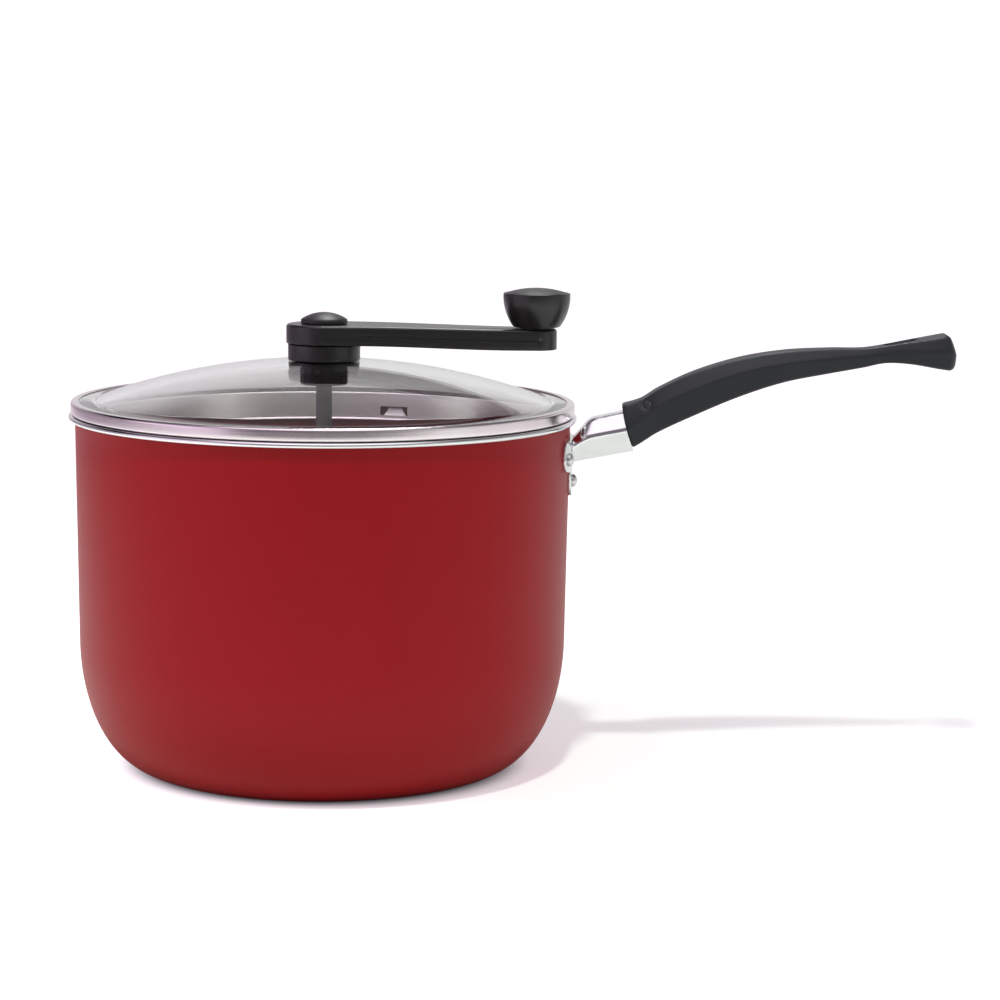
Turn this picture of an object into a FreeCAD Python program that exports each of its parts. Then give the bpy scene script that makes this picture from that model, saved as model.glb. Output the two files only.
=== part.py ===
import FreeCAD, Part
import math
import os

# Stovetop popcorn popper, in millimetres.
# The origin is the centre of the pot's flat base, +Z is up, and the handle and
# the crank arm point along +X. The pot and its handle are the fixed body. The
# lid lifts off along Z, the crank turns in the lid, and the knob turns on the
# crank arm.

V = FreeCAD.Vector
X_AXIS = V(1, 0, 0)
Y_AXIS = V(0, 1, 0)
Z_AXIS = V(0, 0, 1)

# ---- driving dimensions -----------------------------------------------------

FIT = 0.05              # radial clearance of a part that turns or slides on another
SEAT = 0.02             # radial clearance of a part that is pressed or glued in place
GAP = 0.3               # clearance between parts that move past each other

# pot: one pressed aluminium shell
BASE_R = 77.3           # flat base
CORNER_TOP_Z = 58.5     # the lower corner is a quarter ellipse up to here
LOWER_R = 109.7         # outer radius where the corner ends
UPPER_R = 111.05        # outer radius under the rim
WALL = 2.0
FLOOR = 3.0
BEAD_R = 1.2            # rolled rim
RIM_R = 113.9           # over the rolled rim
RIM_Z = 159.8
MOUTH_ROUND = 1.5       # rounded inner edge of the rim

# lid: a glass dome in a rolled steel ring
SHEET = 0.6             # steel sheet of the ring
RING_R = 112.9          # outer wall of the ring
RING_Z = RIM_Z + GAP    # underside of the ring's flange
RING_BEND = 1.0         # bend between the outer wall and the lip
FLANGE_BEND = 0.4       # bend between the outer wall and the flange
GLASS_TOP_Z = 183.9
GLASS_R = 300.0         # outer sphere of the dome
GLASS_THICK = 4.0
GLASS_EDGE_R = 111.0
GLASS_EDGE_Z = 165.1    # flat rim of the dome, upper face
GLASS_EDGE_THICK = 3.6
GLASS_BEVEL = 0.6
GLASS_HOLE_R = 6.3
DOME_END_R = 104.5      # where the dome turns into its flat rim
FLAT_RIM_R = 106.6      # where the flat rim starts
LIP_R = 109.4           # inner edge of the ring's upper lip
GASKET_IN_R = 107.4     # inner edge of the silicone strip
SKIRT_R = 107.1         # outer face of the skirt that locates the lid in the pot
SKIRT_Z = 145.6         # lower end of the skirt
HEM_R = 0.75
TAB_COUNT = 4           # spring tongues punched in the skirt
TAB_AZIMUTH = 76.0      # the first tongue
TAB_WIDTH = 13.6
TAB_LOW_Z = 148.7
TAB_HIGH_Z = 153.3
TAB_SPREAD = 1.0        # how far a tongue leans out of the skirt
TAB_SHARE = 0.75        # width of a tongue against its window

# bearing boss in the middle of the lid, and the nut that holds it
BOSS_R = 16.2
BOSS_TOP_Z = 190.85
BOSS_SEAT_Z = 184.75    # underside of the boss on its gasket
BOSS_SKIRT_Z = 183.8    # lower edge of the skirt that hides the gasket
BOSS_SKIRT_IN_R = 14.8
SPIGOT_R = 6.0
SPIGOT_LOW_Z = 171.3
BUSH_R = 4.4
UPPER_BUSH_LOW_Z = 183.0
LOWER_BUSH_TOP_Z = 179.0
THRUST_R = 12.0
THRUST_THICK = 0.25
NUT_R = 10.65
NUT_LOW_Z = 171.5
NUT_TOP_Z = 179.0
NUT_FLUTES = 16
FLUTE_R = 1.1
FLUTE_AXIS_R = NUT_R + 0.7
BOSS_GASKET_R = 14.5
NUT_GASKET_R = 10.2

# drive shaft
SHAFT_R = 3.6
JOURNAL_R = 3.0         # the shaft inside the boss
SHOULDER_Z = 171.1
DRIVE_LOW_Z = 191.3     # the end with two flats that turns the shaft
DRIVE_TOP_Z = 195.7
DRIVE_FLATS = 4.6
SHAFT_LOW_Z = 4.4
SHAFT_TIP = 1.0

# crank arm
HUB_R = 17.0
HUB_LOW_Z = 191.3
HUB_TOP_Z = 199.95
ARM_LENGTH = 95.2       # shaft axis to knob axis
ARM_END_R = 9.2
ARM_END_LOW_Z = 189.8
ARM_END_TOP_Z = 199.1
ARM_ROUND = 1.2         # rounded upper edge
RECESS_R = 7.5          # screw recess under the cap
RECESS_Z = 196.2
CAP_R = 10.45
CAP_SIDE_Z = 201.95
CAP_TOP_Z = 205.15
SCREW_R = 1.6
SCREW_LOW_Z = 184.0
SCREW_HEAD_R = 3.4
SCREW_DOME = 0.9
SLOT_WIDTH = 0.9
CRANK_WASHER_R = 5.4
CRANK_WASHER_THICK = 0.8

# knob
KNOB_LOW_Z = 199.8
KNOB_RIM_Z = 215.05
KNOB_TOP_Z = 217.25
KNOB_R = 15.0
KNOB_BELLY = (13.2, 204.7)      # a point half way up the bowl: radius and height
KNOB_FOOT_R = 10.4
KNOB_INSERT_R = 13.5
KNOB_INSERT_THICK = 1.6
KNOB_POCKET_R = 6.5
KNOB_POCKET_Z = 207.0
KNOB_WASHER_R = 7.0
KNOB_WASHER_THICK = 0.4
AXLE_R = 2.5
AXLE_TOP_Z = 211.6
AXLE_HEAD_R = 4.6
AXLE_HEAD_THICK = 1.6
AXLE_SUNK = 0.2         # how deep the head lies below the arm's underside
PUSH_NUT_R = 5.0
PUSH_NUT_THICK = 0.8

# stirrer
STIR_WIRE_R = 1.6
STIR_GAP = 1.5          # wire to pot floor
STIR_RISE = 4.0         # the wires leave the hub this much above the floor run
STIR_BEND_IN = 9.5      # where a wire starts to go down
STIR_BEND_OUT = 17.5    # where it reaches the floor run
STIR_HUB_R = 7.5
STIR_HUB_LOW_Z = 5.5
STIR_HUB_TOP_Z = 17.5
STIR_HUB_BEVEL = 0.8
STIR_LONG_END = 55.0    # degrees round the pot's lower corner
STIR_SHORT_R = 62.0
STIR_PIN_R = 1.25
STIR_PIN_Z = 14.0

# handle bracket, stamped from steel sheet
BRACKET_SHEET = 1.5
UPPER_RIVET_Z = 142.4
UPPER_RIVET_AZIMUTH = 9.7
LOWER_RIVET_Z = 130.7
RIVET_R = 2.2
RIVET_HEAD_R = 2.95
RIVET_HEAD_H = 2.3
RIVET_INNER_R = 3.8     # flat head inside the pot
RIVET_INNER_H = 0.9
# shield-shaped plate, from its middle to its edge: (half width, height, corner radius)
PLATE_CORNERS = (
    (26.5, 150.4, 3.0),
    (26.5, 137.9, 5.0),
    (11.0, 135.8, 4.0),
    (8.0, 124.3, 6.0),
)
# sections of the neck: (distance from the pot's axis, upper edge, side ridge, lower edge)
NECK_STATIONS = (
    (109.0, 149.6, 148.2, 139.0),
    (112.5, 151.0, 149.3, 139.9),
    (116.0, 154.7, 150.6, 140.7),
    (119.6, 158.7, 151.9, 141.5),
    (125.0, 160.3, 153.1, 142.5),
    (134.0, 162.4, 154.9, 144.3),
    (142.0, 164.6, 156.6, 145.9),
)
NECK_HALF = (5.6, 11.4, 7.0)    # half widths at the upper edge, the ridge and the lower edge
NECK_ROUNDS = (0.6, 0.8, 0.6)
NECK_OPENING = 6.0              # the hollow runs out through the underside

# grip: a station is (distance from the pot's axis, heights of the upper edge, the
# side ridge and the lower edge, then the half widths at those three heights)
GRIP_STATIONS = (
    (129.0, 164.6, 150.0, 141.0, 6.5, 14.0, 7.5),
    (142.0, 168.1, 157.8, 148.4, 6.5, 14.0, 7.5),
    (150.0, 172.9, 162.9, 153.6, 6.4, 13.6, 7.4),
    (166.0, 180.7, 170.8, 161.3, 6.2, 12.8, 7.0),
    (186.0, 187.3, 178.0, 170.0, 5.8, 11.8, 6.4),
    (206.0, 190.9, 182.8, 176.7, 5.4, 10.6, 5.8),
    (226.0, 192.2, 186.2, 180.9, 4.8, 9.0, 5.2),
    (241.0, 192.5, 188.3, 183.8, 4.6, 7.8, 4.8),
    (251.0, 194.0, 190.0, 185.9, 5.2, 8.2, 5.2),
    (262.0, 196.0, 191.2, 185.8, 7.2, 10.6, 7.2),
    (274.0, 198.4, 191.6, 184.0, 9.0, 12.2, 9.0),
    (286.0, 200.8, 191.9, 182.4, 9.6, 12.6, 9.6),
)
# side view of the space that the grip may fill: curved front, rounded tail
GRIP_SIDE = (
    (133.4, 176.0),
    (133.9, 166.2),
    (136.0, 155.3, "arc"),
    (139.2, 146.2),
    (150.0, 130.0),
    (240.0, 172.0),
    (270.0, 184.6),
    (278.2, 183.6),
    (281.0, 184.4, "arc"),
    (282.3, 187.4),
    (282.2, 190.6),
    (280.9, 196.6),
    (279.8, 198.8, "arc"),
    (277.6, 199.4),
    (262.0, 215.0),
    (180.0, 215.0),
)
# plan view of the same space: (distance from the pot's axis, half width, corner radius)
GRIP_PLAN = (
    (120.0, -20.0, 1.0),
    (240.0, -20.0, 1.0),
    (264.0, -12.6, 1.0),
    (282.4, -12.6, 8.0),
    (282.4, 12.6, 8.0),
    (264.0, 12.6, 1.0),
    (240.0, 20.0, 1.0),
    (120.0, 20.0, 1.0),
)
GRIP_ROUND = 3.0        # upper and lower edges of the grip
RIDGE_ROUND = 1.6
SOCKET_DEPTH_X = 142.2  # end of the front socket
SOCKET_FLOOR_Z = 152.4
HANG_HOLE_AT = 257.8
HANG_HOLE_LENGTH = 12.4
HANG_HOLE_WIDTH = 7.4
PIN_AT = 145.2
PIN_Z = 166.4
PIN_R = 1.8
PIN_HALF_LENGTH = 7.4
TANG_SLOPE = 24.5       # degrees above the horizontal
TANG_THICK = 3.0
TANG_HEIGHT = 11.0
TANG_START = (131.5, 156.2)
TANG_LENGTH = 46.0
TANG_CLEARANCE = 0.15


# ---- construction helpers ---------------------------------------------------

def wire_of(points):
    """Closed outline in the XZ plane. A point is (x, z), and a tuple with a third
    item "arc" is the middle of an arc between its neighbours."""
    edges = []
    count = len(points)
    here = 0
    while here < count:
        start = points[here]
        after = points[(here + 1) % count]
        if len(after) == 3:
            end = points[(here + 2) % count]
            arc = Part.Arc(V(start[0], 0, start[1]), V(after[0], 0, after[1]), V(end[0], 0, end[1]))
            edges.append(arc.toShape())
            here += 2
        else:
            edges.append(Part.makeLine(V(start[0], 0, start[1]), V(after[0], 0, after[1])))
            here += 1
    return Part.Wire(edges)


def turned(points, x=0.0):
    """Solid of revolution about the vertical line through (x, 0)."""
    solid = Part.Face(wire_of(points)).revolve(V(0, 0, 0), Z_AXIS, 360)
    solid.translate(V(x, 0, 0))
    return solid


def disc(radius, low, high, x=0.0):
    return Part.makeCylinder(radius, high - low, V(x, 0, low), Z_AXIS)


def tube(outer, inner, low, high, x=0.0):
    return disc(outer, low, high, x).cut(disc(inner, low, high, x))


def slab(points, half_width):
    """Outline in the XZ plane made solid from y = -half_width to half_width."""
    face = Part.Face(wire_of(points))
    face.translate(V(0, -half_width, 0))
    return face.extrude(V(0, 2 * half_width, 0))


def rounded_wire(corners, to_point):
    """Polygon with a radius at every corner: corners are (u, v, radius), and
    to_point turns (u, v) into a point in space."""
    count = len(corners)
    tangents = []
    for i in range(count):
        u, v, radius = corners[i]
        back = corners[i - 1]
        ahead = corners[(i + 1) % count]
        to_back = V(back[0] - u, back[1] - v, 0).normalize()
        to_ahead = V(ahead[0] - u, ahead[1] - v, 0).normalize()
        half = to_back.getAngle(to_ahead) / 2
        reach = radius / math.tan(half)
        bisector = (to_back + to_ahead).normalize()
        middle = V(u, v, 0) + bisector * (radius / math.sin(half) - radius)
        tangents.append((V(u, v, 0) + to_back * reach, middle, V(u, v, 0) + to_ahead * reach))
    edges = []
    for i in range(count):
        first, middle, last = (to_point(p.x, p.y) for p in tangents[i])
        edges.append(Part.Arc(first, middle, last).toShape())
        following = tangents[(i + 1) % count][0]
        edges.append(Part.makeLine(last, to_point(following.x, following.y)))
    return Part.Wire(edges)


def six_sided(x, top, ridge, low, top_half, ridge_half, low_half, radii):
    """Closed six-sided section at x: flat top, a ridge on each side, flat bottom."""
    corners = (
        (-top_half, top, radii[0]),
        (top_half, top, radii[0]),
        (ridge_half, ridge, radii[1]),
        (low_half, low, radii[2]),
        (-low_half, low, radii[2]),
        (-ridge_half, ridge, radii[1]),
    )
    return rounded_wire(corners, lambda y, z: V(x, y, z))


def along_x(x, z, radius, length, azimuth=0.0):
    """Cylinder that points outwards from the pot's axis, at an azimuth."""
    rod = Part.makeCylinder(radius, length, V(x, 0, z), X_AXIS)
    rod.rotate(V(0, 0, 0), Z_AXIS, azimuth)
    return rod


def wall_radius(z):
    """Outer radius of the pot's tapered wall."""
    rise = (z - CORNER_TOP_Z) / (RIM_Z - CORNER_TOP_Z)
    return LOWER_R + (UPPER_R - LOWER_R) * rise


def sphere_drop(sphere_r, r):
    """How far a sphere has fallen below its top at radius r."""
    return sphere_r - math.sqrt(sphere_r ** 2 - r ** 2)


def quarter(x, z, radius, side, up):
    """Middle point of a quarter bend about (x, z); side and up are -1 or 1."""
    reach = radius * math.cos(math.radians(45))
    return (x + side * reach, z + up * reach, "arc")


def dome_middle(radius, side_z, top_z):
    """Middle point of the arc of a round dome that ends on the axis."""
    rise = top_z - side_z
    sphere_r = (radius ** 2 + rise ** 2) / (2 * rise)
    return (radius / 2, top_z - sphere_drop(sphere_r, radius / 2), "arc")


def export(name, shape):
    if isinstance(shape, list):
        shape = Part.makeCompound(shape)
    for solid in shape.Solids:
        if not solid.isValid() or solid.Volume <= 0:
            raise ValueError("bad solid in " + name)
    shape.exportStep("parts/" + name + ".step")
    print("%-22s solids %d  volume %.0f" % (name, len(shape.Solids), shape.Volume))


# ---- pot --------------------------------------------------------------------

def pot_outline(offset, floor_z, top_z):
    """Points of the shell's profile, moved inwards by offset: base, corner, wall."""
    return (
        (BASE_R, floor_z),
        (LOWER_R - offset, CORNER_TOP_Z),
        (wall_radius(top_z) - offset, top_z),
    )


def ellipse_edge(outline):
    """Quarter ellipse of a profile from pot_outline."""
    centre = V(outline[0][0], 0, CORNER_TOP_Z)
    low = V(outline[0][0], 0, outline[0][1])
    side = V(outline[1][0], 0, CORNER_TOP_Z)
    ellipse = Part.Ellipse(low, side, centre)
    start = ellipse.parameter(low)
    end = ellipse.parameter(side)
    if end < start:
        end += 2 * math.pi
    return Part.Edge(ellipse, start, end)


def make_pot():
    bead_x = RIM_R - BEAD_R
    bead_z = RIM_Z - BEAD_R
    outer = pot_outline(0.0, 0.0, bead_z - BEAD_R / 2)
    inner = pot_outline(WALL, FLOOR, bead_z)
    wall_top = V(outer[2][0], 0, outer[2][1])
    bead_low = V(bead_x, 0, bead_z - BEAD_R)
    bead_top = V(bead_x, 0, RIM_Z)
    mouth_low = V(inner[2][0], 0, RIM_Z - MOUTH_ROUND)
    mouth = V(mouth_low.x + MOUTH_ROUND, 0, RIM_Z)
    bend = quarter(mouth.x, mouth_low.z, MOUTH_ROUND, -1, 1)
    edges = [
        Part.makeLine(V(0, 0, 0), V(BASE_R, 0, 0)),
        ellipse_edge(outer),
        Part.makeLine(V(outer[1][0], 0, outer[1][1]), wall_top),
        Part.makeLine(wall_top, bead_low),
        Part.Arc(bead_low, V(RIM_R, 0, bead_z), bead_top).toShape(),
        Part.makeLine(bead_top, mouth),
        Part.Arc(mouth, V(bend[0], 0, bend[1]), mouth_low).toShape(),
        Part.makeLine(mouth_low, V(inner[1][0], 0, inner[1][1])),
        ellipse_edge(inner),
        Part.makeLine(V(BASE_R, 0, FLOOR), V(0, 0, FLOOR)),
        Part.makeLine(V(0, 0, FLOOR), V(0, 0, 0)),
    ]
    profile = Part.Wire(Part.__sortEdges__(edges))
    shell = Part.Face(profile).revolve(V(0, 0, 0), Z_AXIS, 360)
    return drill_rivets(shell)


# ---- handle -----------------------------------------------------------------

def rivet_places():
    return (
        (UPPER_RIVET_AZIMUTH, UPPER_RIVET_Z),
        (-UPPER_RIVET_AZIMUTH, UPPER_RIVET_Z),
        (0.0, LOWER_RIVET_Z),
    )


def drill_rivets(shape):
    """Holes for the three rivets, outwards through the wall or the plate."""
    for azimuth, z in rivet_places():
        shape = shape.cut(along_x(LOWER_R / 2, z, RIVET_R + SEAT, LOWER_R, azimuth))
    return shape


def make_rivets():
    """Rivets with a domed head outside and a flat head inside the pot."""
    rivets = []
    for azimuth, z in rivet_places():
        sag = RIVET_INNER_R ** 2 / (2 * (LOWER_R - WALL))
        outside = wall_radius(z + RIVET_HEAD_R) + BRACKET_SHEET + 2 * SEAT
        inside = wall_radius(z - RIVET_INNER_R) - WALL - sag - SEAT
        shank = along_x(inside, z, RIVET_R, outside - inside, azimuth)
        inner_head = along_x(inside - RIVET_INNER_H, z, RIVET_INNER_R, RIVET_INNER_H, azimuth)
        dome_r = (RIVET_HEAD_R ** 2 + RIVET_HEAD_H ** 2) / (2 * RIVET_HEAD_H)
        dome = Part.makeSphere(dome_r, V(outside + RIVET_HEAD_H - dome_r, 0, z))
        dome.rotate(V(0, 0, 0), Z_AXIS, azimuth)
        dome = dome.common(along_x(outside, z, RIVET_HEAD_R, RIVET_HEAD_H, azimuth))
        rivets.append(shank.fuse(inner_head).fuse(dome).removeSplitter())
    return rivets


def neck_loft(inset, drop=0.0):
    """Six-sided neck, inset by a sheet thickness and optionally open below."""
    wires = []
    for x, top, ridge, low in NECK_STATIONS:
        shoulder = min(inset, (top - ridge) * 0.6)
        wires.append(six_sided(
            x, top - inset, ridge - inset + shoulder, low - drop,
            NECK_HALF[0] - inset * 0.6, NECK_HALF[1] - inset, NECK_HALF[2] - inset,
            NECK_ROUNDS))
    return Part.makeLoft(wires, True, False)


def plate_outline():
    """Shield shape of the plate that is riveted to the wall, in Y and Z."""
    other_side = [(-half, z, radius) for half, z, radius in reversed(PLATE_CORNERS)]
    return list(PLATE_CORNERS) + other_side


def make_bracket():
    """Plate that follows the wall, and the neck that grows out of it."""
    low_z = PLATE_CORNERS[-1][1] - 5
    high_z = PLATE_CORNERS[0][1] + 5
    inner_low = wall_radius(low_z) + SEAT
    inner_high = wall_radius(high_z) + SEAT
    plate = turned((
        (inner_low, low_z),
        (inner_low + BRACKET_SHEET, low_z),
        (inner_high + BRACKET_SHEET, high_z),
        (inner_high, high_z),
    ))
    shield = Part.Face(rounded_wire(plate_outline(), lambda y, z: V(LOWER_R / 2, y, z)))
    plate = plate.common(shield.extrude(V(LOWER_R, 0, 0)))
    pot_space = turned((
        (0, low_z),
        (inner_low, low_z),
        (inner_high, high_z),
        (0, high_z),
    ))
    neck = neck_loft(0.0).cut(neck_loft(BRACKET_SHEET, NECK_OPENING)).cut(pot_space)
    under_grip = Part.makeBox(60, 60, 40, V(120, -30, SOCKET_FLOOR_Z + 0.1 - 40))
    neck = neck.cut(slab(GRIP_SIDE, 30.0).common(under_grip))
    return largest(drill_rivets(plate.fuse(neck)).removeSplitter())


def largest(shape):
    return max(shape.Solids, key=lambda solid: solid.Volume)


def tang_blank(grow=0.0):
    """Flat blade inside the neck and the grip; grow widens it into its slot."""
    blade = Part.makeBox(
        TANG_LENGTH + grow,
        TANG_THICK + 2 * grow,
        TANG_HEIGHT + 2 * grow,
        V(0, -TANG_THICK / 2 - grow, -TANG_HEIGHT / 2 - grow))
    blade.rotate(V(0, 0, 0), Y_AXIS, -TANG_SLOPE)
    blade.translate(V(TANG_START[0], 0, TANG_START[1]))
    return blade


def make_tang():
    """Steel blade welded under the roof of the neck, with a hole for the cross pin."""
    blade = tang_blank()
    beyond_neck = Part.makeBox(80, 40, 90, V(NECK_STATIONS[-1][0], -20, 120))
    inside_neck = neck_loft(BRACKET_SHEET + SEAT, NECK_OPENING)
    blade = blade.common(inside_neck).fuse(blade.common(beyond_neck))
    hole = Part.makeCylinder(PIN_R + SEAT, 20, V(PIN_AT, -10, PIN_Z), Y_AXIS)
    return largest(blade.cut(hole))


def make_grip():
    """Phenolic grip: front socket for the neck, slot for the tang, hanging hole."""
    wires = []
    for x, top, ridge, low, top_half, ridge_half, low_half in GRIP_STATIONS:
        edge_round = min(GRIP_ROUND, (top - low) * 0.22)
        radii = (edge_round, RIDGE_ROUND, edge_round)
        wires.append(six_sided(x, top, ridge, low, top_half, ridge_half, low_half, radii))
    grip = Part.makeLoft(wires, True, False)
    grip = grip.common(slab(GRIP_SIDE, 30.0))
    plan = Part.Face(rounded_wire(GRIP_PLAN, lambda x, y: V(x, y, 100)))
    grip = grip.common(plan.extrude(V(0, 0, 150)))
    socket_space = Part.makeBox(SOCKET_DEPTH_X - 120, 40, 40, V(120, -20, SOCKET_FLOOR_Z))
    slot_space = Part.makeBox(80, 20, 90, V(120, -10, SOCKET_FLOOR_Z))
    grip = grip.cut(neck_loft(-2 * FIT).common(socket_space))
    grip = grip.cut(tang_blank(TANG_CLEARANCE).common(slot_space))
    straight = HANG_HOLE_LENGTH - HANG_HOLE_WIDTH
    corner = V(HANG_HOLE_AT - straight / 2, -HANG_HOLE_WIDTH / 2, 160)
    hole = Part.makeBox(straight, HANG_HOLE_WIDTH, 60, corner)
    for side in (-1, 1):
        hole = hole.fuse(disc(HANG_HOLE_WIDTH / 2, 160, 220, HANG_HOLE_AT + side * straight / 2))
    grip = grip.cut(hole)
    pin_hole = Part.makeCylinder(PIN_R + SEAT, 40, V(PIN_AT, -20, PIN_Z), Y_AXIS)
    return largest(grip.cut(pin_hole))


def make_grip_pin():
    """Cross pin through the grip and the tang, sunk a little below both sides."""
    return Part.makeCylinder(PIN_R, 2 * PIN_HALF_LENGTH, V(PIN_AT, -PIN_HALF_LENGTH, PIN_Z), Y_AXIS)


# ---- lid --------------------------------------------------------------------

def make_lid_glass():
    inner_r = GLASS_R - GLASS_THICK
    inner_top = GLASS_TOP_Z - GLASS_THICK
    edge_low = GLASS_EDGE_Z - GLASS_EDGE_THICK
    inner_end_r = DOME_END_R - 1.4
    mid_r = DOME_END_R * 0.55
    return turned((
        (GLASS_HOLE_R, GLASS_TOP_Z - sphere_drop(GLASS_R, GLASS_HOLE_R)),
        (mid_r, GLASS_TOP_Z - sphere_drop(GLASS_R, mid_r), "arc"),
        (DOME_END_R, GLASS_TOP_Z - sphere_drop(GLASS_R, DOME_END_R)),
        (FLAT_RIM_R, GLASS_EDGE_Z),
        (GLASS_EDGE_R - GLASS_BEVEL, GLASS_EDGE_Z),
        (GLASS_EDGE_R, GLASS_EDGE_Z - GLASS_BEVEL),
        (GLASS_EDGE_R, edge_low + GLASS_BEVEL),
        (GLASS_EDGE_R - GLASS_BEVEL, edge_low),
        (inner_end_r + GLASS_BEVEL, edge_low),
        (inner_end_r, inner_top - sphere_drop(inner_r, inner_end_r)),
        (mid_r, inner_top - sphere_drop(inner_r, mid_r), "arc"),
        (GLASS_HOLE_R, inner_top - sphere_drop(inner_r, GLASS_HOLE_R)),
    ))


def make_lid_gasket():
    """Silicone strip, L-shaped, round the edge and underside of the glass."""
    low = RING_Z + SHEET
    glass_low = GLASS_EDGE_Z - GLASS_EDGE_THICK
    outer = RING_R - SHEET
    return turned((
        (GASKET_IN_R, low),
        (outer, low),
        (outer, GLASS_EDGE_Z),
        (GLASS_EDGE_R + SEAT, GLASS_EDGE_Z),
        (GLASS_EDGE_R + SEAT, glass_low),
        (GASKET_IN_R, glass_low),
    ))


def make_lid_ring():
    """Steel ring: lip over the glass, outer wall, flange on the rim and skirt."""
    lip_z = GLASS_EDGE_Z + SHEET
    skirt_in = SKIRT_R - SHEET
    hem_r = SKIRT_R - HEM_R - 0.05
    hem_z = SKIRT_Z + HEM_R
    ring = turned((
        (skirt_in, hem_z),
        (SKIRT_R, hem_z),
        (SKIRT_R, RING_Z),
        (RING_R - FLANGE_BEND, RING_Z),
        quarter(RING_R - FLANGE_BEND, RING_Z + FLANGE_BEND, FLANGE_BEND, 1, -1),
        (RING_R, RING_Z + FLANGE_BEND),
        (RING_R, lip_z - RING_BEND),
        quarter(RING_R - RING_BEND, lip_z - RING_BEND, RING_BEND, 1, 1),
        (RING_R - RING_BEND, lip_z),
        (LIP_R, lip_z),
        (LIP_R, GLASS_EDGE_Z),
        (RING_R - SHEET, GLASS_EDGE_Z),
        (RING_R - SHEET, RING_Z + SHEET),
        (skirt_in, RING_Z + SHEET),
    ))
    hem = Part.makeTorus(hem_r, HEM_R, V(0, 0, hem_z), Z_AXIS)
    ring = ring.fuse(hem)
    half_angle = math.degrees(TAB_WIDTH / 2 / SKIRT_R)
    for i in range(TAB_COUNT):
        azimuth = TAB_AZIMUTH + 360.0 / TAB_COUNT * i
        corner = V(skirt_in - 5, -TAB_WIDTH / 2, TAB_LOW_Z)
        window = Part.makeBox(10, TAB_WIDTH, TAB_HIGH_Z - TAB_LOW_Z, corner)
        window.rotate(V(0, 0, 0), Z_AXIS, azimuth)
        ring = ring.cut(window)
        tongue_low = TAB_LOW_Z - 0.4
        tongue_high = TAB_HIGH_Z - 0.9
        tongue = Part.Face(wire_of((
            (skirt_in, tongue_low),
            (SKIRT_R, tongue_low),
            (SKIRT_R + TAB_SPREAD, tongue_high),
            (skirt_in + TAB_SPREAD, tongue_high),
        ))).revolve(V(0, 0, 0), Z_AXIS, 2 * TAB_SHARE * half_angle)
        tongue.rotate(V(0, 0, 0), Z_AXIS, azimuth - TAB_SHARE * half_angle)
        ring = ring.fuse(tongue)
    return largest(ring.removeSplitter())


def make_boss():
    """Bearing boss: a round collar above the glass and a threaded spigot through it."""
    bore = BUSH_R + SEAT
    edge = 0.4
    return turned((
        (bore, SPIGOT_LOW_Z),
        (SPIGOT_R - edge, SPIGOT_LOW_Z),
        (SPIGOT_R, SPIGOT_LOW_Z + edge),
        (SPIGOT_R, BOSS_SEAT_Z),
        (BOSS_SKIRT_IN_R, BOSS_SEAT_Z),
        (BOSS_SKIRT_IN_R, BOSS_SKIRT_Z),
        (BOSS_R - edge, BOSS_SKIRT_Z),
        (BOSS_R, BOSS_SKIRT_Z + edge),
        (BOSS_R, BOSS_TOP_Z - edge),
        (BOSS_R - edge, BOSS_TOP_Z),
        (bore, BOSS_TOP_Z),
    ))


def domed_washer(outer, inner, flat_z, sphere_r, sphere_top, above):
    """Silicone washer with one flat face and one face that fits the dome."""
    gap = SEAT if above else -SEAT
    inner_z = sphere_top - sphere_drop(sphere_r, inner) + gap
    middle = (outer + inner) / 2
    middle_z = sphere_top - sphere_drop(sphere_r, middle) + gap
    outer_z = sphere_top - sphere_drop(sphere_r, outer) + gap
    return turned((
        (inner, inner_z),
        (middle, middle_z, "arc"),
        (outer, outer_z),
        (outer, flat_z),
        (inner, flat_z),
    ))


def make_nut():
    """Round moulded nut under the glass, with grip flutes round its side."""
    bore = SPIGOT_R + SEAT
    edge = 0.4
    nut = turned((
        (bore, NUT_LOW_Z),
        (NUT_R - 2.5 * edge, NUT_LOW_Z),
        (NUT_R, NUT_LOW_Z + 2.5 * edge),
        (NUT_R, NUT_TOP_Z - edge),
        (NUT_R - edge, NUT_TOP_Z),
        (bore, NUT_TOP_Z),
    ))
    for i in range(NUT_FLUTES):
        angle = 2 * math.pi * i / NUT_FLUTES
        foot = V(FLUTE_AXIS_R * math.cos(angle), FLUTE_AXIS_R * math.sin(angle), NUT_LOW_Z - 1)
        nut = nut.cut(Part.makeCylinder(FLUTE_R, NUT_TOP_Z - NUT_LOW_Z - 0.6, foot, Z_AXIS))
    return nut


# ---- crank ------------------------------------------------------------------

def drive_end(grow):
    """Round end with two flats, cut a little larger for its socket."""
    round_end = disc(JOURNAL_R + grow, DRIVE_LOW_Z - 1, DRIVE_TOP_Z + 0.5)
    corner = V(-DRIVE_FLATS / 2 - grow, -10, DRIVE_LOW_Z - 5)
    flats = Part.makeBox(DRIVE_FLATS + 2 * grow, 20, 20, corner)
    return round_end.common(flats)


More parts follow.
